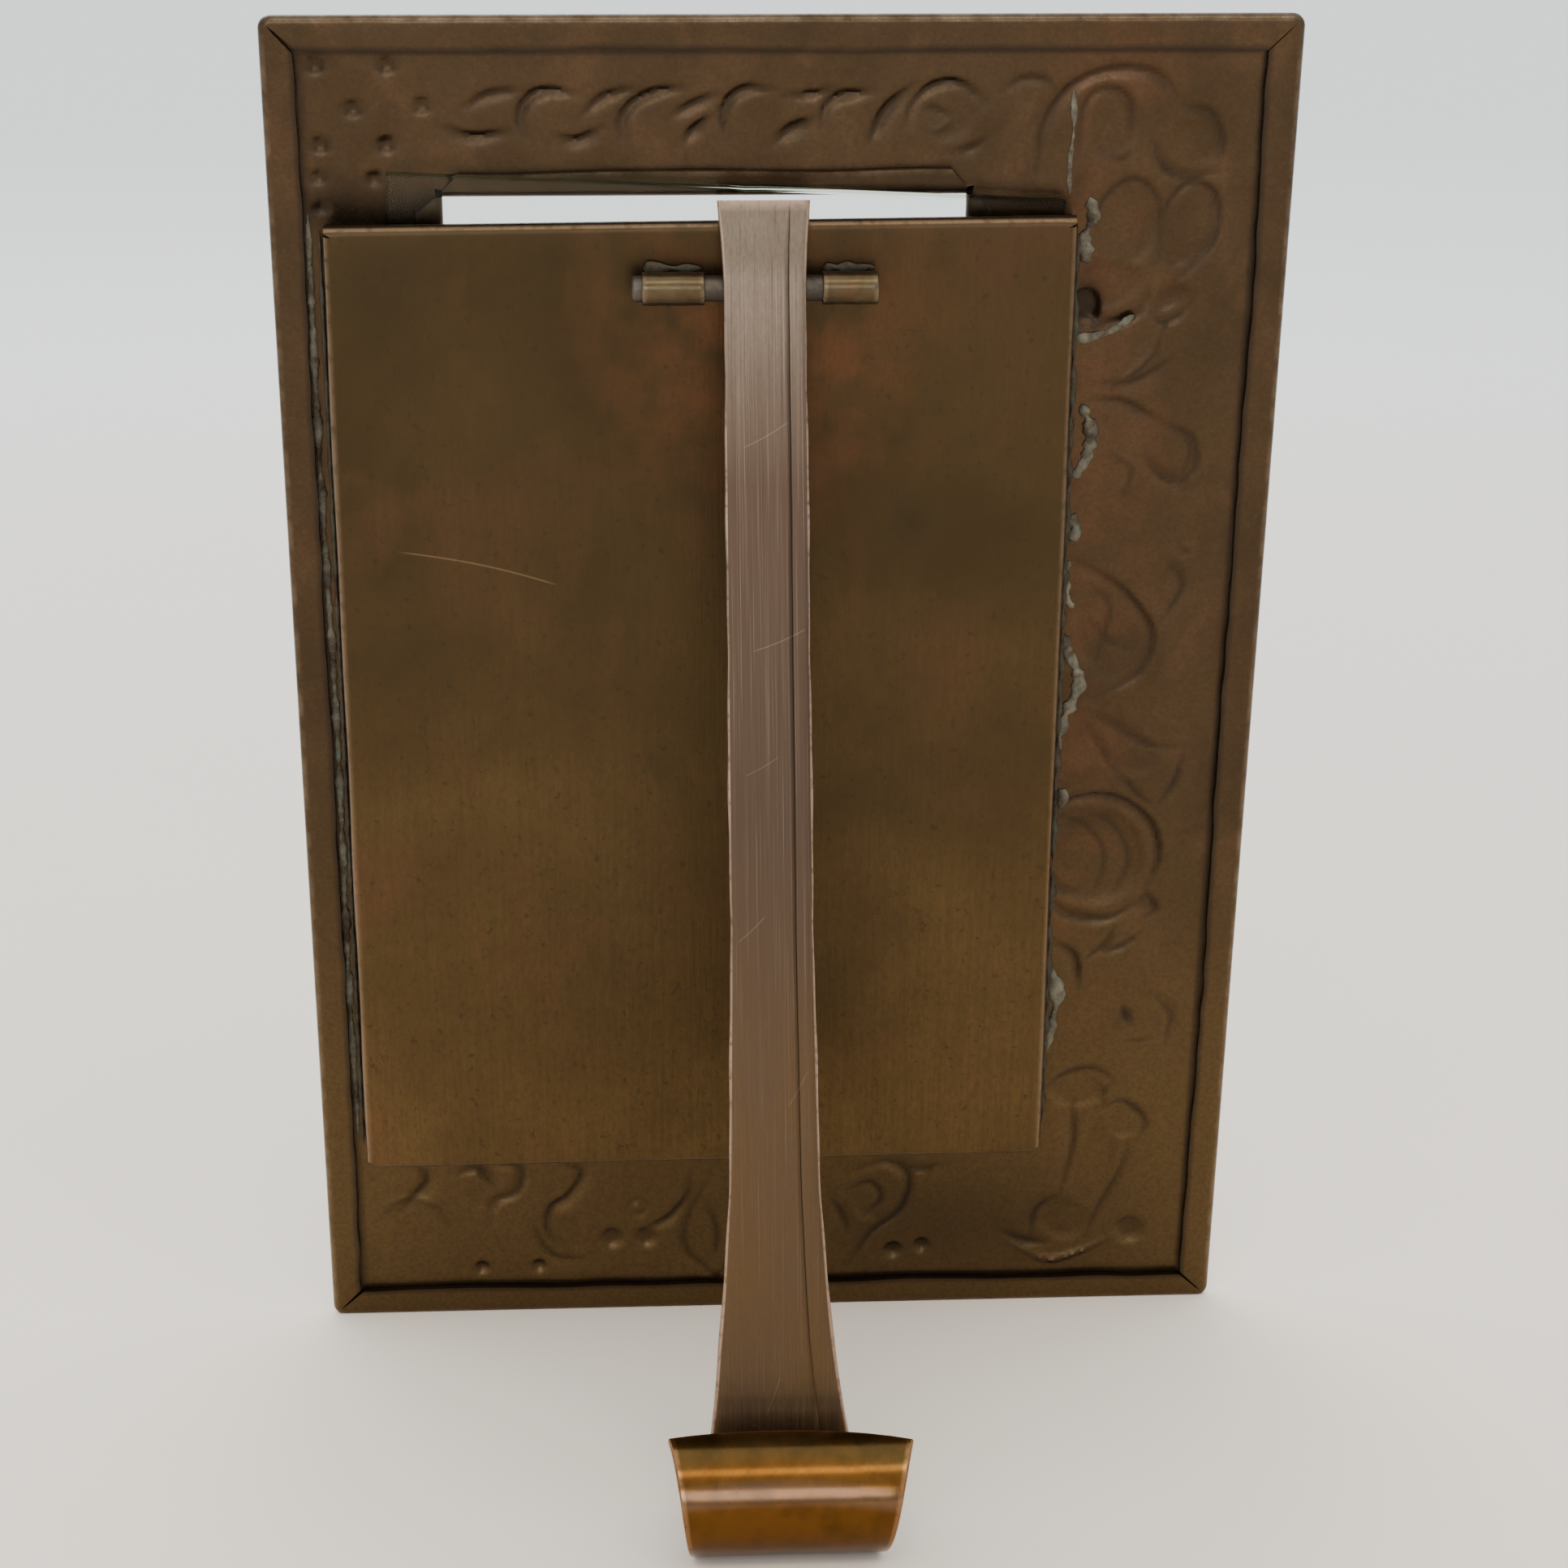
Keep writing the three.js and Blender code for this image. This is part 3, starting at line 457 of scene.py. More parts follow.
# ---------------------------------------------------------------- face sheet
def stations(*spans):
    """Positions through neighbouring spans (start, end, cell), with each span's ends among them."""
    found = [np.array([spans[0][0]])]
    for start, end, cell in spans:
        steps = max(1, round(abs(end - start) / cell))
        found.append(np.linspace(start, end, steps + 1)[1:])
    return np.concatenate(found)


def fold_stations(thickness, width, flap_rows, lift=0.0):
    """Stations of a fold and its flap: distance from the fold and depth, of the outer and inner skins."""
    outer = thickness / 2
    inner = outer - SHEET
    rows = []
    for i in range(1, FOLD_STEPS + 1):
        angle = math.pi * i / FOLD_STEPS
        sine, cosine = math.sin(angle), math.cos(angle)
        rows.append((outer - outer * sine, outer - outer * cosine,
                     outer - inner * sine, outer - inner * cosine))
    for i in range(1, flap_rows + 1):
        share = i / flap_rows
        w = outer + (width - outer) * share
        raised = lift * share * share
        rows.append((w, thickness + raised, w, thickness - SHEET + raised))
    return rows


class SheetNet:
    """A folded sheet's two skins as one net of numbered points."""

    def __init__(self):
        # grime holds dirt, soot and smudges, and also painted shadow along the hem flaps and under the pocket
        self.outer, self.inner, self.quads, self.wear, self.grime = [], [], [], [], []
        self.count = 0

    def add(self, outer, inner, wear, grime):
        """Adds matching points of the two skins and returns their numbers."""
        shape = outer.shape[:-1]
        numbers = np.arange(self.count, self.count + math.prod(shape)).reshape(shape)
        self.outer.append(outer.reshape(-1, 3))
        self.inner.append(inner.reshape(-1, 3))
        self.wear.append(np.broadcast_to(wear, shape).ravel())
        self.grime.append(np.broadcast_to(grime, shape).ravel())
        self.count += math.prod(shape)
        return numbers

    def points_of(self, numbers):
        return np.vstack(self.outer)[numbers]

    def made(self):
        """Points, faces and values of the closed sheet, without the points that no face uses."""
        points = np.vstack(self.outer + self.inner)
        faces = sheet_faces(np.vstack(self.quads), self.count)
        used, numbers = np.unique(faces.ravel(), return_inverse=True)
        values = {"wear": np.tile(np.concatenate(self.wear), 2)[used],
                  "grime": np.tile(np.concatenate(self.grime), 2)[used]}
        return points[used], numbers.reshape(faces.shape), values


def round_corners(points):
    """Moves points near the sheet's outer corners onto a rounded plan."""
    half = np.array([FACE_WIDTH / 2, FACE_HEIGHT / 2])
    plan = points[:, [0, 2]] - [0, FACE_HEIGHT / 2]
    depth = np.clip(CORNER_RADIUS - (half - np.abs(plan)), 0, None)
    both = (depth > 0).all(axis=1)
    length = np.hypot(depth[both, 0], depth[both, 1])
    scale = depth[both].max(axis=1) / length
    moved = (half - CORNER_RADIUS + depth[both] * scale[:, None]) * np.sign(plan[both])
    points[np.ix_(both, [0, 2])] = moved + [0, FACE_HEIGHT / 2]
    return points


def soften(height, times):
    """A grid of heights, each point moved to its neighbours' mean, that many times."""
    for _ in range(times):
        padded = np.pad(height, 1, mode="edge")
        height = (padded[:-2, 1:-1] + padded[2:, 1:-1] + padded[1:-1, :-2] + padded[1:-1, 2:]) / 4
    return height


def dark_spots(across, down, spots):
    """Soot and dirt left where the sheet was soldered and handled, and on the face one painted shadow under
    the pocket.
    """
    dark = np.zeros(across.shape)
    for centre_a, centre_b, half_a, half_b, strength in spots:
        gap = ((across - centre_a) / half_a) ** 2 + ((down - centre_b) / half_b) ** 2
        dark = np.maximum(dark, strength * np.exp(-gap))
    return dark


def face_plate(net, xs, zs):
    """The embossed sheet inside the folds, with the window left out."""
    x, z = np.meshgrid(xs, zs)
    u, v = FACE_WIDTH / 2 - x, FACE_HEIGHT - z
    height, chased = (values.reshape(x.shape) for values in relief(u.ravel(), v.ravel()))
    edge = np.minimum.reduce([x - xs[0], xs[-1] - x, z - zs[0], zs[-1] - z])
    height *= np.clip((edge - HEM_WIDTH + 1.6) / 1.2, 0, 1)
    border = np.maximum.reduce([WINDOW_LEFT - x, x - WINDOW_RIGHT, WINDOW_BOTTOM - z, z - WINDOW_TOP])
    height *= np.clip((border - 1.2) / 1.5, 0, 1)
    hammered = 0.05 * ripple(x, z, 9, 3) + 0.07 * ripple(x, z, 26, 4)
    hammered *= np.clip(edge / 3, 0, 1) * np.clip((border - 1) / 2, 0, 1)
    hollow = np.clip(soften(height, 2) - soften(height, 14), 0, 1)
    outer = np.stack([x, -height - hammered, z], axis=-1)
    inner = np.stack([x, SHEET - 0.95 * height - hammered, z], axis=-1)
    # Painted shadow: a dark line on the sheet along the hem flaps' inner edges, for the shade in the gap
    # under them
    hem_gap_shadow = 0.95 * np.exp(-((edge - HEM_LINE) / 0.5) ** 2)
    grime = hollow * 1.2 + chased * 0.58 + dark_spots(u, v, DARK_SPOTS) + hem_gap_shadow
    numbers = net.add(outer, inner, 0.0, np.clip(grime, 0, 1))
    net.quads.append(grid_quads(np.where(border < LIP_RADIUS - HAIR, -1, numbers)))
    return numbers


def hem_points(side, t, w, y, wander):
    """Points of one hem row: t runs along the edge from -1 to 1 and w inwards from the fold."""
    inset = w + wander
    middle = FACE_HEIGHT / 2
    if side in ("bottom", "top"):
        level = inset if side == "bottom" else FACE_HEIGHT - inset
        coords = (t * (FACE_WIDTH / 2 - w), y, level)
    else:
        level = inset - FACE_WIDTH / 2 if side == "left" else FACE_WIDTH / 2 - inset
        coords = (level, y, middle + t * (middle - w))
    return np.stack(np.broadcast_arrays(*coords), axis=-1)


def hem(net, side, edge_numbers, positions, flip, seed):
    """The fold and turned-back flap along one outer edge, slit from its neighbours at the mitres."""
    centre, half = (positions[0] + positions[-1]) / 2, (positions[-1] - positions[0]) / 2
    rows = [edge_numbers]
    for w, outer_y, inner_w, inner_y in fold_stations(HEM_THICKNESS, HEM_WIDTH, 4):
        share = np.clip((w - 1) / (HEM_WIDTH - 1), 0, 1) if outer_y > HEM_RADIUS else 0
        wander = share * (0.22 * ripple(positions, 0, 34, seed) + 0.1 * ripple(positions, 0, 9, seed + 1))
        sag = 0.06 * ripple(positions, w * 3, 13, seed + 2) * (outer_y > HEM_THICKNESS - 0.05)
        length = (positions - centre) / half * (1 - HEM_SLIT * share ** 0.5 / half)
        outer = hem_points(side, length, w, np.minimum(outer_y + sag, HEM_THICKNESS), wander)
        inner = hem_points(side, length, inner_w, np.minimum(inner_y + sag, HEM_THICKNESS - SHEET), wander)
        worn = 1.0 if 0.5 < outer_y < HEM_THICKNESS - 0.05 else 0.0
        # Painted shadow: the flap's free edge row is darkened for the shade in the gap under it
        wear, grime = (0.1, 0.95) if w == HEM_WIDTH else (worn, 0.05)
        rows.append(net.add(outer, inner, wear, grime))
    net.quads.append(grid_quads(rows, flip))


def lip(net, side, edge_numbers, positions, flip, seed):
    """The fold and turned-back flap along one side of the window, its ends trimmed off aslant."""
    upright = side in ("left", "right")
    low, high = (WINDOW_BOTTOM, WINDOW_TOP) if upright else (WINDOW_LEFT, WINDOW_RIGHT)
    middle, half = (low + high) / 2, (high - low) / 2
    t = (positions - middle) / (half + LIP_RADIUS)
    rows = [edge_numbers]
    lift = LIP_LIFT if side == "top" else 0
    for w, outer_y, inner_w, inner_y in fold_stations(LIP_THICKNESS, LIP_WIDTH, 3, lift):
        folded = outer_y > LIP_RADIUS
        share = max(0.0, w - 1) / (LIP_WIDTH - 1) if folded else 0
        reach = half - 2.1 * share if folded else half + w
        wander = share * 0.2 * ripple(positions, 0, 30, seed)
        if side == "top":
            wander = wander + share * 0.6 * (0.5 - (positions - low) / (high - low))
        skins = []
        for distance, y in ((w, outer_y), (inner_w, inner_y)):
            offset = distance + wander
            level = {"left": WINDOW_LEFT - offset, "right": WINDOW_RIGHT + offset,
                     "bottom": WINDOW_BOTTOM - offset, "top": WINDOW_TOP + offset}[side]
            coords = (level, y, middle + t * reach)
            skins.append(np.stack(np.broadcast_arrays(*(coords if upright else coords[::-1])), axis=-1))
        rows.append(net.add(*skins, 0.9 if w == LIP_WIDTH else 0.1, 0.35))
    net.quads.append(grid_quads(rows, flip))


def within(positions, low, high):
    """The numbers of the positions from one edge of the window's folds to the other."""
    return np.nonzero((positions > low - LIP_RADIUS - HAIR) & (positions < high + LIP_RADIUS + HAIR))[0]


def face_sheet(material):
    left, right = WINDOW_LEFT - LIP_RADIUS, WINDOW_RIGHT + LIP_RADIUS
    low, high = WINDOW_BOTTOM - LIP_RADIUS, WINDOW_TOP + LIP_RADIUS
    edge = FACE_WIDTH / 2 - HEM_RADIUS
    xs = stations((-FACE_WIDTH / 2 + HEM_RADIUS, left, FACE_CELL), (left, right, FACE_CELL),
                  (right, edge, PLAIN_CELL))
    zs = stations((HEM_RADIUS, low, FACE_CELL), (low, high, FACE_CELL),
                  (high, FACE_HEIGHT - HEM_RADIUS, FACE_CELL))
    net = SheetNet()
    plate = face_plate(net, xs, zs)
    hem(net, "bottom", plate[0], xs, True, 20)
    hem(net, "top", plate[-1], xs, False, 30)
    hem(net, "left", plate[:, 0], zs, False, 40)
    hem(net, "right", plate[:, -1], zs, True, 50)
    across = within(xs, WINDOW_LEFT, WINDOW_RIGHT)
    up = within(zs, WINDOW_BOTTOM, WINDOW_TOP)
    lip(net, "bottom", plate[up[0], across], xs[across], False, 60)
    lip(net, "top", plate[up[-1], across], xs[across], True, 70)
    lip(net, "left", plate[up, across[0]], zs[up], True, 80)
    lip(net, "right", plate[up, across[-1]], zs[up], False, 90)
    points, faces, values = net.made()
    points = round_corners(points) * [1, 1, HEIGHT_TRIM]
    made = piece("embossed_face_sheet", points, faces, UPRIGHT, values, sharp=50)
    flatten_on_floor(made)
    dress(made, "frame", material, "face_copper", "face_sheet")


def flatten_on_floor(made):
    """Flattens what would reach below the floor, where the lower hem is worn flat."""
    for vertex in made.data.vertices:
        vertex.co.z = max(vertex.co.z, 0.0)


# ---------------------------------------------------------------- pocket
def pocket_points(s, t):
    """Places on the pocket's plate: s runs from its right to its left and t from its foot to its top."""
    low = np.outer(1 - s, POCKET_LOW_RIGHT) + np.outer(s, POCKET_LOW_LEFT)
    high = np.outer(1 - s, POCKET_TOP_RIGHT) + np.outer(s, POCKET_TOP_LEFT)
    return low * (1 - t)[:, None] + high * t[:, None]


def bend_stations():
    """Stations from the plate round its bend and down a wall: outward offset and depth of both skins."""
    inner_radius = POCKET_BEND - SHEET
    level = POCKET_BACK - POCKET_BEND
    rows = []
    for i in range(1, FOLD_STEPS + 1):
        angle = math.pi / 2 * i / FOLD_STEPS
        sine, cosine = math.sin(angle), math.cos(angle)
        rows.append((POCKET_BEND * sine, level + POCKET_BEND * cosine,
                     inner_radius * sine, level + inner_radius * cosine))
    for i in range(1, WALL_STEPS + 1):
        y = level + (POCKET_FOOT - level) * i / WALL_STEPS
        rows.append((POCKET_BEND, y, inner_radius, y))
    return rows


def moved(points, across, up, y):
    """The points moved across and up, and set at depth y."""
    return np.stack([points[:, 0] + across, np.full(len(points), y), points[:, 2] + up], axis=-1)


def pocket_plate(net):
    columns, rows = round(POCKET_WIDTH / POCKET_CELL), round(POCKET_HEIGHT / POCKET_CELL)
    s = np.linspace(POCKET_BEND / POCKET_WIDTH, 1 - POCKET_BEND / POCKET_WIDTH, columns)
    t = np.linspace(POCKET_BEND / POCKET_HEIGHT, 1 - POCKET_HEM_THICKNESS / 2 / POCKET_HEIGHT, rows)
    grid = np.meshgrid(s, t)
    ss, tt = (values.ravel() for values in grid)
    x, z = pocket_points(ss, tt).T
    dish = 0.1 * ripple(x, z, 60, 5) - 0.1
    dish *= np.clip(np.minimum.reduce([ss, 1 - ss, tt, 1 - tt]) / 0.06, 0, 1)
    outer = np.stack([x, POCKET_BACK + dish, z], axis=-1).reshape(*grid[0].shape, 3)
    smudges = dark_spots(x, z, POCKET_SMUDGES).reshape(grid[0].shape)
    plate = net.add(outer, outer - [0, SHEET, 0], 0.0, smudges)
    net.quads.append(grid_quads(plate))
    return plate


def pocket_wall(net, numbers, across, up, flip):
    """One bend and wall, folded forwards from an edge of the plate."""
    base = net.points_of(numbers)
    wobble = 0.12 * ripple(base[:, 0], base[:, 2], 40, 6)
    rows = [numbers]
    for index, (out, y, inner_out, inner_y) in enumerate(bend_stations()):
        sway = wobble * (index > 3)
        outer = moved(base, across * (out + sway), up * (out + sway), y)
        inner = moved(base, across * (inner_out + sway), up * (inner_out + sway), inner_y)
        worn = max(0.0, 1 - abs(2 * index / FOLD_STEPS - 1)) if index < FOLD_STEPS else 0.0
        rows.append(net.add(outer, inner, worn, 0.3 if index > FOLD_STEPS else 0))
    net.quads.append(grid_quads(rows, flip))


def rolled_top(net, numbers):
    """The pocket's upper edge, rolled inwards and pressed nearly flat."""
    base = net.points_of(numbers)
    middle = base[:, 0].mean()
    base[:, 0] = middle + (base[:, 0] - middle) * 1.02
    radius = POCKET_HEM_THICKNESS / 2
    level = POCKET_BACK - radius
    radii = (radius, radius - SHEET)
    rows = [numbers]
    for i in range(1, FOLD_STEPS + 1):
        angle = math.pi * i / FOLD_STEPS
        skins = [moved(base, 0, r * math.sin(angle), level + r * math.cos(angle)) for r in radii]
        rows.append(net.add(*skins, 0.9 if i == 2 else 0.0, 0.15))
    for i in range(1, WALL_STEPS + 1):
        drop = (POCKET_HEM_WIDTH - radius) * i / WALL_STEPS
        rows.append(net.add(*[moved(base, 0, -drop, level - r) for r in radii], 0.0, 0.3))
    net.quads.append(grid_quads(rows))


def back_pocket(material):
    net = SheetNet()
    plate = pocket_plate(net)
    pocket_wall(net, plate[:, 0], -1, 0, True)
    pocket_wall(net, plate[:, -1], 1, 0, False)
    pocket_wall(net, plate[0], 0, -1, True)
    rolled_top(net, plate[-1])
    made = piece("back_pocket_folded", *net.made()[:2], UPRIGHT, net.made()[2])
    dress(made, "frame", material, "pocket_copper", "back_pocket")


# ---------------------------------------------------------------- hinge and strut
def half_width_at(distance):
    at, widths = zip(*STRAP_HALF_WIDTHS)
    smooth = [np.interp(distance + shift, at, widths) for shift in (-3, -1.5, 0, 1.5, 3)]
    return float(np.mean(smooth))


def straight_length():
    """The length of strap from the hinge to the curl, which then just stands on the floor."""
    slope = STRUT_OPENING - math.atan2(*JOINTS["pane_slide"]["axis"][1:])
    height = JOINTS["strut_hinge"]["pos_m"][2] / MM
    reach = height + (STRAP_AXIS + CURL_RADIUS - STRAP / 2) * math.sin(slope)
    return (reach - CURL_RADIUS - 0.01) / math.cos(slope)


STRAIGHT = straight_length()


def strap_point(distance, depth):
    """A point of the strap at a distance down it and a depth through it, square to the hinge."""
    if distance <= STRAIGHT:
        set_in = max(-distance - TAIL_BEND, 0) * math.tan(TAIL_SET)
        return STRAP_AXIS + depth - set_in, -distance
    angle = (distance - STRAIGHT) / CURL_MIDDLE
    radius = CURL_MIDDLE - depth
    return (STRAP_AXIS + CURL_MIDDLE - radius * math.cos(angle),
            -STRAIGHT - radius * math.sin(angle))


def strap_section():
    """The strap's section as (share across, further offset, depth, wear, in the groove), round it."""
    half = STRAP / 2
    groove = {GROOVE_T - GROOVE_HALF, GROOVE_T, GROOVE_T + GROOVE_HALF}
    shares = sorted(set(np.round(np.linspace(-1, 1, 13), 3)) | groove)
    section = []
    for side, turns in ((1, (60, 30, 0, -30, -60)), (-1, (-60, -30, 0, 30, 60))):
        section += [(t, 0, side * half, 0, side > 0 and t == GROOVE_T) for t in shares[::side]]
        for turn in turns:
            angle = math.radians(turn)
            depth = (half - STRAP_CORNER) * np.sign(turn) + STRAP_CORNER * math.sin(angle)
            section.append((side, side * STRAP_CORNER * math.cos(angle), depth, 1, False))
    return section


def strap_distances():
    straight = np.arange(-TAIL, STRAIGHT, 1.5)
    return np.concatenate([straight, STRAIGHT + np.linspace(0, CURL_TURN, 96) * CURL_MIDDLE])


def strut(material):
    section = strap_section()
    distances = strap_distances()
    points, wear, along, across = [], [], [], []
    for row, distance in enumerate(distances):
        half_width = half_width_at(distance) - STRAP_CORNER
        centre = np.interp(distance, *zip(*STRAP_CENTRES))
        edge = 0.07 * math.sin(distance * 0.17) + 0.04 * math.sin(distance * 0.53 + 1)
        if distance > STRAIGHT - 10:
            edge = 0
        bow = max(distance - (distances[-1] - CURL_END), 0) / CURL_END
        for t, offset, depth, worn, groove in section:
            x = t * (half_width - edge * abs(t)) + offset
            share = x / (half_width + STRAP_CORNER)
            d = distance + bow * (CURL_END_REACH + CURL_END_SKEW * share - CURL_END_BOW * share * share)
            cut = GROOVE_DEPTH if groove and -9 < distance < STRAIGHT - 6 else 0
            points.append((centre + x, *strap_point(d, depth - cut)))
            wear.append(1 if row in (0, len(distances) - 1) else worn)
            along.append(distance)
            across.append(share)
    values = {"wear": wear, "along": along, "across": across}
    made = piece("strut_strap", points, lathe_faces(len(distances), len(section)), STRUT, values)
    dress(made, "strut", material, "strut_copper", "strut")


def turned(name, profile, start, material, body, slot, node):
    """A piece turned about the hinge axis: profile is (distance along it, radius, wear), which may close."""
    closed = profile[0] == profile[-1]
    rings = profile[:-1] if closed else profile
    points, wear = [], []
    for at, r, worn in rings:
        for i in range(TURNED_SIDES):
            angle = 2 * math.pi * i / TURNED_SIDES
            y, z = HINGE.y + r * math.sin(angle), HINGE.z + r * math.cos(angle)
            points.append((HINGE.x + start + at, y, z))
        wear += [worn] * TURNED_SIDES
    faces = lathe_faces(len(rings), TURNED_SIDES, closed)
    dress(piece(name, points, faces, UPRIGHT, {"wear": wear}, sharp=35), body, material, slot, node)


def hinge_tube(side, material):
    start, end = TUBE_SPANS[side]
    length = end - start
    r, b, soft = TUBE_RADIUS, TUBE_BORE, 0.14
    mouth = [(0, b, 0.3), (0, r - soft, 1), (soft / 2, r - soft / 3, 1), (soft, r, 0.8), (0.8, r, 0)]
    profile = mouth + [(length * k / 6, r - 0.03 * math.sin(2 * k), 0) for k in range(1, 6)]
    profile += [(length - at, radius, worn) for at, radius, worn in reversed(mouth)] + mouth[:1]
    turned(f"brass_tube_{side}", profile, start, material, "frame", "tube_brass", f"hinge_tube_{side}")


def hinge_rod(material):
    start, end = ROD_SPAN
    length = end - start
    ends = [(0.5 - 0.5 * math.cos(a), ROD_RADIUS - 0.5 + 0.5 * math.sin(a), 0.6)
            for a in np.linspace(0, math.pi / 2, 5)]
    middle = [(length * k / 16, ROD_RADIUS - 0.025 * (1 + math.sin(2.3 * k)), 0) for k in range(1, 16)]
    profile = ends + middle + [(length - at, r, worn) for at, r, worn in reversed(ends)]
    turned("iron_rod", profile, start, material, "strut", "rod_iron", "hinge_rod")


# ---------------------------------------------------------------- solder and glass
BEAD_STEP = 0.45
BEAD_SIDES = 12
BEAD_WAVES = 6
# Crescents and smears of solder on the sheet beside the pocket: (points in u and v, radius)
SOLDER_SMEARS = [
    ([(109, 53.4), (110.4, 57), (110.1, 61), (108.3, 64.2)], 0.6),
    ([(107.9, 69.8), (109.2, 71.2), (108.4, 73.6)], 0.8),
    ([(108.4, 76.4), (107.7, 79), (108.1, 82), (109.4, 83.6)], 0.5),
    ([(107.2, 87), (109.2, 91), (110.7, 95), (109.4, 99), (108, 103), (108.2, 106)], 0.62),
    ([(108.4, 112), (109.2, 113.4), (108.8, 115)], 0.7),
    ([(108.6, 141), (109.8, 146), (109.4, 150), (108.2, 156)], 0.6),
    ([(108.7, 24.4), (109.3, 27), (108.3, 30), (108.7, 33.6)], 0.6),
    ([(106.2, 43.2), (108.6, 44), (112.4, 43), (115.6, 40.8)], 0.42),
    ([(105.9, 10), (106.1, 15), (105.8, 20), (106, 24)], 0.22),
    ([(5.1, 26), (4.9, 60), (5.3, 100), (5, 140), (5.2, 168)], 0.36),
]


def bead(name, path, radius, to_frame, body, material, nodes, seed, flat=(1, 1), jitter=0.35):
    """A lumpy run of solder along a path, its radius wandering from lump to lump."""
    rng = np.random.default_rng(seed)
    path = np.asarray(path, float)
    lengths = np.concatenate([[0], np.cumsum(np.linalg.norm(np.diff(path, axis=0), axis=1))])
    steps = max(8, int(lengths[-1] / BEAD_STEP))
    at = np.linspace(0, lengths[-1], steps)
    line = np.stack([np.interp(at, lengths, path[:, k]) for k in range(3)], axis=1)
    phases = rng.uniform(0, 2 * math.pi, (BEAD_WAVES, 2))
    waves = 2 * math.pi / rng.uniform(1.6, 12, BEAD_WAVES)
    tangent = np.gradient(line, axis=0)
    tangent /= np.linalg.norm(tangent, axis=1)[:, None]
    points = []
    for step in range(steps):
        side = np.cross(tangent[step], (0, 1, 0))
        side /= np.linalg.norm(side)
        lift = np.cross(side, tangent[step])
        lump = sum(math.sin(at[step] * waves[k] + phases[k, 0]) for k in range(BEAD_WAVES)) / 3
        ends = math.sqrt(max(0.0, 1 - abs(2 * step / (steps - 1) - 1) ** 12)) * 0.98 + 0.02
        for i in range(BEAD_SIDES):
            angle = 2 * math.pi * i / BEAD_SIDES
            rough = sum(math.sin(at[step] * waves[k] * 2 + phases[k, 1] + 2 * angle) for k in range(3)) / 6
            r = radius * ends * max(0.25, 1 + jitter * lump + jitter * rough)
            out, up = r * flat[0] * math.cos(angle), r * flat[1] * math.sin(angle)
            points.append(line[step] + side * out + lift * up)
    values = {"wear": np.zeros(len(points))}
    made = piece(name, points, lathe_faces(steps, BEAD_SIDES), to_frame, values, sharp=80)
    dress(made, body, material, "soft_solder", *nodes)


def wall_solder(side, low, high, radius, material, seed, jitter=0.35):
    """A bead on the face sheet along one of the pocket's walls, between two places in x and z."""
    foot = SHEET + 0.75
    bead(f"solder_{side}", [(low[0], foot, low[1]), (high[0], foot, high[1])], radius, UPRIGHT, "frame",
         material, [f"solder_seam_{side}"], seed, jitter=jitter)


def solder(pale, tarnished):
    """The solder along the pocket's three walls, round the two tubes and on the rod."""
    (left_x, left_z), (right_x, right_z) = POCKET_LOW_LEFT, POCKET_LOW_RIGHT
    left_top, right_top = POCKET_TOP_LEFT, POCKET_TOP_RIGHT
    wall_solder("left", (left_x + 0.75, left_z + 1), (left_top[0] + 0.75, left_top[1] - 2), 0.3, tarnished,
                101)
    wall_solder("right", (right_x - 0.8, right_z + 2), (right_top[0] - 0.8, right_top[1] - 4), 0.4, tarnished,
                102, jitter=0.8)
    wall_solder("bottom", (right_x + 1, right_z - 0.7), (left_x - 1, left_z - 0.7), 0.7, pale, 103)
    for side, (start, end) in TUBE_SPANS.items():
        for level, sign, size in (("upper", 1, 0.42), ("lower", -1, 0.36)):
            z = HINGE.z + sign * (TUBE_RADIUS - 0.1)
            path = [(start + 0.2, POCKET_BACK + 0.35, z), (end - 0.2, POCKET_BACK + 0.35, z)]
            bead(f"solder_{side}_{level}", path, size, UPRIGHT, "frame", tarnished,
                 [f"solder_tube_{side}_{level}"], 110 + int(start) + sign, flat=(1.5, 0.7), jitter=0.6)
    for level, sign in (("upper", 1), ("lower", -1)):
        path = [(STRAP_X + reach, STRAP_AXIS - 1.0, sign * 1.9) for reach in (-4.8, 4.8)]
        bead(f"solder_strap_{level}", path, 0.42, STRUT, "strut", pale, [f"solder_rod_{level}"], 130 + sign)


def solder_smears(material):
    for number, (points, radius) in enumerate(SOLDER_SMEARS, 1):
        path, _ = curve_through(points)
        placed = [(FACE_WIDTH / 2 - u, SHEET + 0.1, FACE_HEIGHT - v) for u, v in path]
        bead(f"solder_smear_{number}", placed, radius, UPRIGHT, "frame", material, [], 200 + number,
             flat=(1.3, 0.45), jitter=0.55)


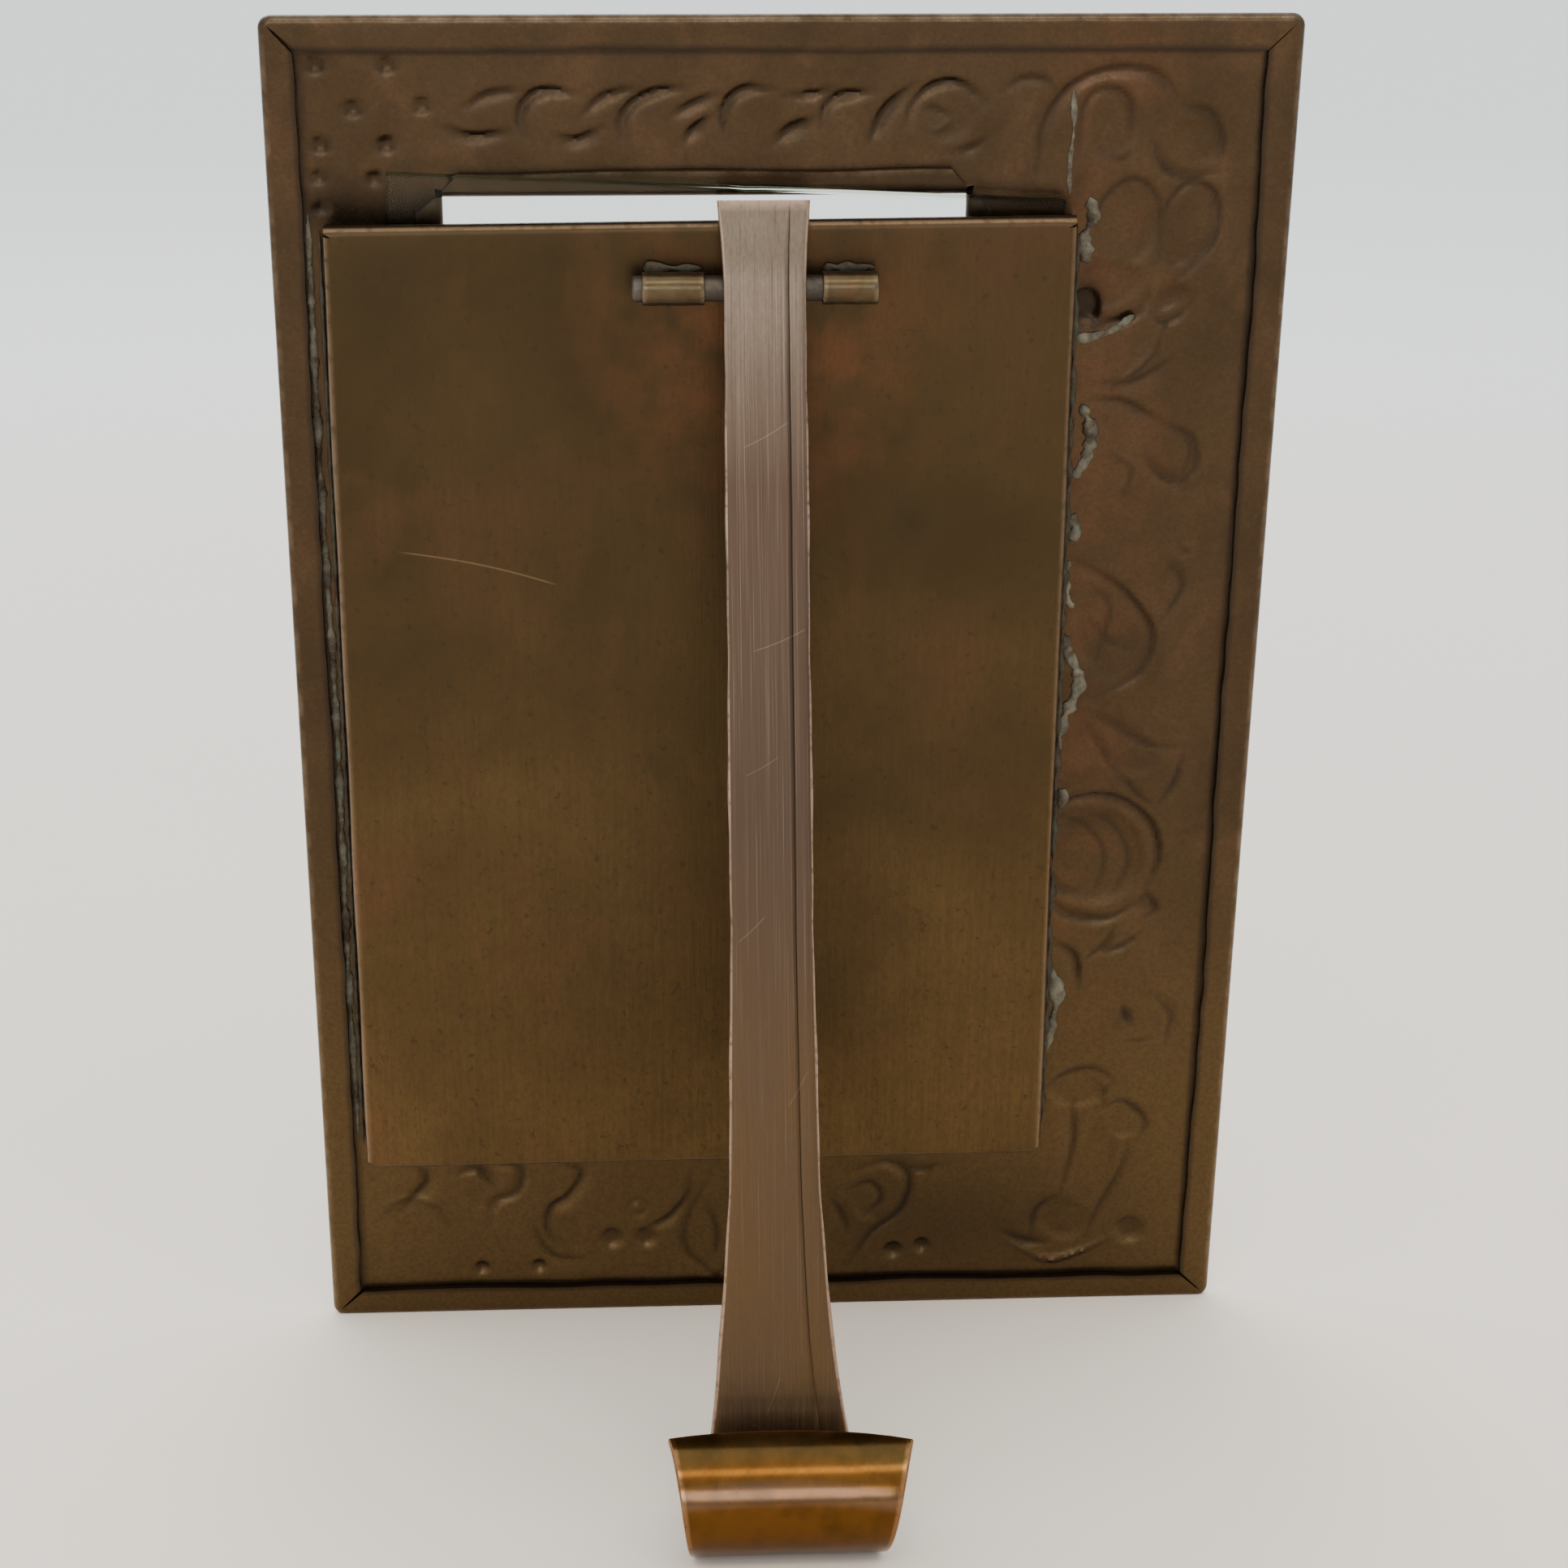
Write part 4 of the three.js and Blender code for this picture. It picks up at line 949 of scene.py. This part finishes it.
def glass_pane(material):
    width, depth, height = PANE_SIZE
    rng = np.random.default_rng(RANDOM_SEED)
    across, up = 40, 60
    outline = [(width * i / across, 0.0) for i in range(across)]
    outline += [(width, height * i / up) for i in range(up)]
    outline += [(width - width * i / across, height) for i in range(across)]
    outline += [(0.0, height - height * i / up) for i in range(up)]
    outline = np.array(outline)
    inward = np.array([width / 2, height / 2]) - outline
    inward = np.sign(inward) * (np.abs(inward) > [width / 2 - 0.01, height / 2 - 0.01])
    chips = 0.12 * np.abs(rng.normal(0, 1, len(outline))) * (rng.uniform(0, 1, len(outline)) > 0.8)
    rings = []
    for y, inset in ((0, 0.6), (0, PANE_BEVEL), (PANE_BEVEL, 0.02), (depth - PANE_BEVEL, 0.02),
                     (depth, PANE_BEVEL), (depth, 0.6)):
        ring = outline + inward * (inset + chips[:, None] * (inset < 0.5))
        rings.append(np.stack([ring[:, 0], np.full(len(ring), y), ring[:, 1]], axis=1))
    place = UPRIGHT @ Matrix.Translation(Vector(PANE_LOW_CORNER)) @ Matrix.Rotation(-PANE_TURN, 4, "Y")
    edge = np.repeat([0, 0.6, 1, 1, 0.6, 0], len(outline))
    made = piece("glass", np.vstack(rings), lathe_faces(6, len(outline)), place, {"wear": edge}, sharp=25)
    dress(made, "pane", material, "pane_glass", "glass_pane")


# ---------------------------------------------------------------- materials
class Look:
    """A procedural material under construction: tones laid one over another, then a finish."""

    def __init__(self, name, **settings):
        self.material = bpy.data.materials.new(name)
        self.material.use_nodes = True
        self.tree = self.material.node_tree
        self.shader = self.tree.nodes["Principled BSDF"]
        self.colour = None
        for key, value in settings.items():
            self.shader.inputs[key.replace("_", " ")].default_value = value

    def put(self, name, socket):
        self.tree.links.new(socket, self.shader.inputs[name])

    def node(self, kind, inputs=None, **settings):
        made = self.tree.nodes.new("ShaderNode" + kind)
        for key, value in settings.items():
            setattr(made, key, value)
        for key, value in (inputs or {}).items():
            if isinstance(value, bpy.types.NodeSocket):
                self.tree.links.new(value, made.inputs[key])
            else:
                made.inputs[key].default_value = value
        return made

    def value(self, name):
        return self.node("Attribute", attribute_name=name).outputs["Fac"]

    def place(self, x=1.0, y=1.0, z=1.0):
        spot = self.node("Attribute", attribute_name="place").outputs["Vector"]
        return self.node("VectorMath", {0: spot, 1: (x, y, z)}, operation="MULTIPLY").outputs[0]

    def axis(self, number):
        return self.node("SeparateXYZ", {0: self.place()}).outputs[number]

    def noise(self, vector, scale, detail=4.0, roughness=0.55, distortion=0.0):
        inputs = {"Vector": vector, "Scale": scale, "Detail": detail, "Roughness": roughness,
                  "Distortion": distortion}
        return self.node("TexNoise", inputs).outputs["Fac"]

    def levels(self, value, low, high, to_low=0.0, to_high=1.0):
        inputs = {"Value": value, "From Min": low, "From Max": high, "To Min": to_low, "To Max": to_high}
        return self.node("MapRange", inputs).outputs["Result"]

    def blots(self, scale, detail, low, high, most=1.0, stretch=(1, 1, 1), roughness=0.55):
        """A mask of noise, nothing below one level and all of it above the other."""
        return self.levels(self.noise(self.place(*stretch), scale, detail, roughness), low, high, 0, most)

    def calc(self, operation, a, b=0.0):
        return self.node("Math", {0: a, 1: b}, operation=operation).outputs[0]

    def times(self, a, b):
        return self.calc("MULTIPLY", a, b)

    def off(self, value, centre):
        """How far a value is from a centre."""
        return self.calc("ABSOLUTE", self.calc("SUBTRACT", value, centre))

    def mix(self, share, a, b):
        made = self.node("Mix", data_type="RGBA")
        for key, value in ((0, share), (6, a), (7, b)):
            if isinstance(value, bpy.types.NodeSocket):
                self.tree.links.new(value, made.inputs[key])
            else:
                made.inputs[key].default_value = (*value, 1)
        return made.outputs[2]

    def tint(self, share, tone):
        """Lays a tone over the colour so far."""
        self.colour = self.mix(share, self.colour, tone)

    def finish(self, grain, rough, strength, depth, smoothed=None):
        """Puts on the colour, with a grain for its roughness and its fine bumps."""
        roughness = self.levels(grain, 0.3, 0.7, *rough)
        if smoothed:
            roughness = self.calc("SUBTRACT", roughness, smoothed)
        self.put("Base Color", self.colour)
        self.put("Roughness", roughness)
        inputs = {"Height": grain, "Strength": strength, "Distance": depth}
        self.put("Normal", self.node("Bump", inputs).outputs["Normal"])
        return self.material

    def patina(self, dark, mid, warm, scale=0.06):
        """Clouded brown patina: dark and mid tones in soft blotches, with warmer patches here and there."""
        clouds = self.noise(self.place(), scale, 5, 0.6, 0.3)
        tone = self.mix(self.levels(clouds, 0.35, 0.68), dark, mid)
        patches = self.noise(self.place(1, 1, 0.7), scale * 1.9, 3, 0.5, 0.6)
        self.colour = self.mix(self.levels(patches, 0.52, 0.72), tone, warm)


def scratch(look, across, along, start, end, half_width):
    """A mask for one straight scratch between two points, fading at its edges."""
    reach = Vector(end) - Vector(start)
    length = reach.length
    direction = reach / length
    a = look.calc("SUBTRACT", across, start[0])
    b = look.calc("SUBTRACT", along, start[1])
    run = look.calc("ADD", look.times(a, direction[0]), look.times(b, direction[1]))
    aside = look.calc("SUBTRACT", look.times(a, direction[1]), look.times(b, direction[0]))
    wave = look.times(look.calc("SINE", look.times(run, 3 / length)), length * 0.03)
    near = look.levels(look.off(aside, wave), half_width * 0.4, half_width, 1, 0)
    return look.times(near, look.levels(look.off(run, length / 2), length * 0.4, length / 2, 1, 0))


def face_look():
    look = Look("embossed_copper_brown", Metallic=0.9)
    look.patina((0.045, 0.028, 0.0135), (0.062, 0.038, 0.019), (0.072, 0.041, 0.021))
    stained = look.levels(look.calc("ABSOLUTE", look.calc("ADD", look.axis(0), 44.0)), 2, 12, 0.55, 0)
    look.tint(look.times(stained, look.blots(0.09, 3, 0.42, 0.6)), (0.092, 0.043, 0.021))
    # Painted light: the sheet's colour is lighter towards the bottom, making up for the darker light there
    look.tint(look.levels(look.axis(2), 35, 90, 0.78, 0), (0.096, 0.059, 0.0225))
    look.tint(look.blots(1.6, 6, 0.42, 0.68, 0.45, roughness=0.75), (0.030, 0.019, 0.011))
    look.tint(look.blots(1.2, 6, 0.56, 0.74, 0.3, (1, 1, 1.3), 0.75), (0.115, 0.072, 0.040))
    # Dirt in the hollows and chased lines and soot spots, with painted shadow along the hem flaps and under
    # the pocket
    look.tint(look.times(look.value("grime"), 0.85), (0.014, 0.010, 0.007))
    wear = look.times(look.value("wear"), look.blots(0.35, 4, 0.35, 0.75))
    look.tint(look.times(wear, 0.5), (0.17, 0.125, 0.085))
    grain = look.noise(look.place(), 2.2, 5, 0.65)
    return look.finish(grain, (0.28, 0.42), 0.22, 0.0001, look.times(wear, 0.1))


def pocket_look():
    look = Look("pocket_copper_olive", Metallic=0.9)
    # Painted light: the plate's colour is lighter towards its foot, making up for the darker light there
    low = look.calc("POWER", look.levels(look.axis(2), 165, 40), 2)
    look.patina(look.mix(low, (0.036, 0.023, 0.0095), (0.085, 0.050, 0.018)),
                look.mix(low, (0.056, 0.035, 0.0145), (0.122, 0.073, 0.026)),
                look.mix(low, (0.062, 0.032, 0.016), (0.115, 0.060, 0.024)), 0.03)
    look.tint(look.blots(1.0, 4, 0.4, 0.75, 0.3, (1.6, 1, 0.05), 0.6), (0.040, 0.027, 0.012))
    hinge = (3.0, POCKET_BACK, 156.0)
    from_hinge = look.node("VectorMath", {0: look.place(), 1: hinge}, operation="DISTANCE")
    glow = look.levels(from_hinge.outputs["Value"], 6, 30, 0.8, 0)
    look.tint(look.times(glow, look.blots(0.12, 4, 0.35, 0.6)), (0.095, 0.040, 0.018))
    look.tint(look.blots(1.2, 6, 0.42, 0.68, 0.4, (1.5, 1, 0.7), 0.75), (0.036, 0.024, 0.011))
    look.tint(look.times(look.blots(0.9, 2, 0.64, 0.74), 0.5), (0.026, 0.019, 0.01))
    line = scratch(look, look.axis(0), look.axis(2), (52.6, 128.4), (30.6, 123.1), 0.17)
    outside = look.levels(look.axis(1), POCKET_BACK - 0.4, POCKET_BACK - 0.2, 0, 0.28)
    look.tint(look.times(line, outside), (0.26, 0.17, 0.09))
    wear = look.times(look.value("wear"), look.blots(0.6, 3, 0.2, 0.5))
    look.tint(look.times(wear, 0.75), (0.17, 0.110, 0.066))
    look.tint(look.times(look.value("grime"), 0.7), (0.022, 0.018, 0.01))
    brush = look.noise(look.place(3.2, 1, 0.07), 1.0, 5, 0.7)
    return look.finish(brush, (0.30, 0.44), 0.18, 0.0001, look.times(wear, 0.1))


# (start, end, half width) of scratches on the strap, in x from its middle and distance down it
STRAP_SCRATCHES = [
    ((3.2, 21), (-3.0, 17.5), 0.10), ((2.2, 47.6), (-5.0, 44.6), 0.10), ((4.6, 86), (0.8, 82.4), 0.10),
    ((3.4, 64), (-1.2, 61.4), 0.07), ((4.8, 150), (-2.2, 152.6), 0.12), ((0.4, 153.8), (-4.2, 154), 0.12),
    ((1.6, 149.6), (-0.4, 144.2), 0.10), ((-1.8, 108), (-4.6, 103), 0.08),
]


def strut_look():
    look = Look("strut_copper_rubbed", Metallic=0.95)
    along = look.value("along")
    look.colour = look.mix(look.levels(along, -8, 26), (0.150, 0.114, 0.083), (0.050, 0.031, 0.019))
    look.tint(look.levels(along, 70, 112), (0.079, 0.046, 0.020))
    look.tint(look.levels(along, STRAIGHT - 12, STRAIGHT - 3), (0.17, 0.10, 0.05))
    look.tint(look.times(look.blots(0.12, 4, 0.35, 0.7, 1, (1, 1, 0.4)), 0.35), (0.060, 0.039, 0.027))
    look.tint(look.blots(1.0, 5, 0.4, 0.7, 0.35, (3, 3, 0.9), 0.7), (0.05, 0.033, 0.024))
    brushed = look.noise(look.place(5.5, 1, 0.03), 1.0, 3, 0.6)
    look.tint(look.levels(brushed, 0.56, 0.72, 0, 0.28), (0.17, 0.122, 0.09))
    lines = look.blots(1.0, 2, 0.6, 0.66, 1, (4.1, 1, 0.02), 0.5)
    look.tint(look.times(lines, look.levels(along, 20, 110, 0.45, 0.15)), (0.04, 0.027, 0.02))
    groove = look.levels(look.off(look.value("across"), GROOVE_T * 0.95), 0.004, 0.016, 0.8, 0)
    groove = look.times(groove, look.levels(along, STRAIGHT - 20, STRAIGHT - 8, 1, 0))
    look.tint(groove, (0.02, 0.012, 0.008))
    across = look.calc("SUBTRACT", look.axis(0), STRAP_X)
    for start, end, half_width in STRAP_SCRATCHES:
        look.tint(look.times(scratch(look, across, along, start, end, half_width), 0.15), (0.28, 0.20, 0.15))
    foot = look.levels(along, STRAIGHT - 1, STRAIGHT + 6)
    blotch = look.blots(0.35, 4, 0.4, 0.7)
    polished = look.mix(blotch, (0.108, 0.045, 0.0085), (0.078, 0.033, 0.006))
    shaded = look.mix(blotch, (0.085, 0.046, 0.012), (0.055, 0.034, 0.010))
    look.tint(foot, look.mix(look.levels(along, STRAIGHT + 29.4, STRAIGHT + 31.2), polished, shaded))
    rim = look.levels(look.calc("ABSOLUTE", look.value("across")), 0.94, 0.965)
    wear = look.times(look.calc("MAXIMUM", look.value("wear"), rim), look.blots(0.9, 3, 0.2, 0.5))
    look.tint(look.times(wear, 0.8), look.mix(foot, (0.34, 0.225, 0.16), (0.24, 0.12, 0.05)))
    # Painted highlight: a clear coat laid only on the band of the foot where the window light's reflection
    # falls, to whiten that highlight
    highlight_band_coat = look.times(look.levels(along, STRAIGHT + 24.4, STRAIGHT + 25.4),
                         look.levels(along, STRAIGHT + 26.7, STRAIGHT + 27.9, 0.8, 0))
    look.put("Coat Weight", look.times(highlight_band_coat, 0.8))
    look.put("Coat Roughness", look.levels(blotch, 0, 1, 0.14, 0.22))
    return look.finish(brushed, (0.40, 0.3), 0.15, 0.00006, look.times(foot, 0.16))


def brass_look():
    look = Look("tube_brass_olive", Metallic=0.9)
    look.patina((0.050, 0.034, 0.017), (0.090, 0.065, 0.034), (0.075, 0.044, 0.021), 0.2)
    look.tint(look.times(look.value("wear"), 0.6), (0.17, 0.13, 0.08))
    return look.finish(look.noise(look.place(0.4, 3, 3), 1.0, 4), (0.22, 0.36), 0.2, 0.00006)


def iron_look():
    look = Look("rod_iron_dark", Metallic=0.8)
    look.patina((0.036, 0.030, 0.024), (0.066, 0.054, 0.042), (0.075, 0.048, 0.030), 0.4)
    look.tint(look.times(look.value("wear"), 0.4), (0.16, 0.14, 0.11))
    return look.finish(look.noise(look.place(), 3.0, 5), (0.38, 0.55), 0.3, 0.0001)


def solder_look(name, dark, pale, green):
    look = Look(name, Metallic=0.6)
    look.patina(dark, pale, (0.06, 0.036, 0.02), 0.28)
    look.tint(look.times(look.blots(0.5, 4, 0.52, 0.68), 0.6), green)
    return look.finish(look.noise(look.place(), 2.6, 6, 0.7), (0.45, 0.8), 0.6, 0.0003)


def glass_look():
    look = Look("pane_glass_clear", Roughness=0.02, IOR=1.14, Transmission_Weight=1.0)
    edge = look.levels(look.value("wear"), 0.3, 1.0)
    look.put("Base Color", look.mix(edge, (0.96, 0.985, 0.97), (0.42, 0.66, 0.54)))
    look.put("Roughness", look.calc("ADD", look.blots(0.08, 4, 0.4, 0.7, 0.04), 0.015))
    return look.material


def floor_look():
    look = Look("pale_floor", Metallic=0.0)
    texture = look.node("TexCoord").outputs["Object"]
    grain = look.noise(texture, 9, 3)
    far = look.levels(look.node("VectorMath", {0: texture}, operation="LENGTH").outputs["Value"], 0.15, 1.2)
    near = look.mix(look.levels(grain, 0.3, 0.7), (0.84, 0.755, 0.65), (0.86, 0.775, 0.675))
    look.put("Base Color", look.mix(far, near, (0.83, 0.825, 0.815)))
    look.put("Roughness", look.levels(grain, 0.3, 0.7, 0.75, 0.85))
    return look.material


# ---------------------------------------------------------------- surroundings
FLOOR_RADIUS = 14.0
FLOOR_SIDES = 64
CAMERA_FROM_HINGE = Vector((0.02358, 0.43295, 0.04626))
CAMERA_YAW, CAMERA_PITCH, CAMERA_ROLL = (math.radians(turn) for turn in (-3.064, 14.679, -0.05))
LIGHTS_AIM = Vector((0, 0, 0.06))


def floor(material):
    ring = [(FLOOR_RADIUS * math.cos(2 * math.pi * i / FLOOR_SIDES),
             FLOOR_RADIUS * math.sin(2 * math.pi * i / FLOOR_SIDES), 0) for i in range(FLOOR_SIDES)]
    mesh = bpy.data.meshes.new("floor")
    mesh.from_pydata(ring, [], [tuple(range(FLOOR_SIDES))])
    mesh.materials.append(material)
    show("floor", mesh)


def softbox(name, place, size, power, colour):
    data = bpy.data.lights.new(name, "AREA")
    data.shape = "RECTANGLE"
    data.size, data.size_y = size
    data.energy = power
    data.color = colour
    made = show(name, data)
    made.location = place
    made.rotation_euler = (LIGHTS_AIM - Vector(place)).to_track_quat("-Z", "Y").to_euler()


def pale_room():
    """Soft light from all round, brightest overhead."""
    world = bpy.data.worlds.new("pale_room")
    world.use_nodes = True
    tree = world.node_tree
    direction = tree.nodes.new("ShaderNodeTexCoord")
    split = tree.nodes.new("ShaderNodeSeparateXYZ")
    climb = tree.nodes.new("ShaderNodeMapRange")
    climb.inputs["To Min"].default_value = 0.8
    climb.inputs["To Max"].default_value = 2.1
    background = tree.nodes["Background"]
    background.inputs["Color"].default_value = (0.95, 0.98, 1.0, 1)
    tree.links.new(direction.outputs["Generated"], split.inputs[0])
    tree.links.new(split.outputs["Z"], climb.inputs["Value"])
    tree.links.new(climb.outputs["Result"], background.inputs["Strength"])
    bpy.context.scene.world = world


def camera():
    """The camera stands behind the frame, a little above it and to one side, looking down at it."""
    data = bpy.data.cameras.new("camera")
    data.sensor_width = 36.0
    data.lens = 75.39
    data.clip_start, data.clip_end = 0.01, 60
    made = show("camera", data)
    level = math.cos(CAMERA_PITCH)
    forward = Vector((math.sin(CAMERA_YAW) * level, -math.cos(CAMERA_YAW) * level, -math.sin(CAMERA_PITCH)))
    roll = Matrix.Rotation(CAMERA_ROLL, 3, "Z").to_quaternion()
    made.location = HINGE_PLACE + CAMERA_FROM_HINGE
    made.rotation_mode = "QUATERNION"
    made.rotation_quaternion = forward.to_track_quat("-Z", "Y") @ roll
    bpy.context.scene.camera = made


camera()
softbox("window_light", (0.3, 1.95, 0.62), (1.6, 0.6), 14, (0.97, 0.97, 1.0))
softbox("overhead_light", (-0.1, 0.86, 1.28), (1.2, 0.26), 6, (1.0, 0.86, 0.6))
softbox("front_light", (0.3, -1.4, 1.5), (1.4, 0.9), 12, (0.96, 0.98, 1.0))
pale_room()
floor(floor_look())
face_sheet(face_look())
back_pocket(pocket_look())
strut(strut_look())
brass = brass_look()
for tube_side in TUBE_SPANS:
    hinge_tube(tube_side, brass)
hinge_rod(iron_look())
pale_solder = solder_look("solder_grey_green", (0.030, 0.020, 0.012), (0.17, 0.155, 0.11), (0.14, 0.16, 0.12))
solder(pale_solder, solder_look("solder_tarnished", (0.028, 0.020, 0.012), (0.062, 0.056, 0.034),
                                (0.05, 0.062, 0.04)))
solder_smears(pale_solder)
glass_pane(glass_look())
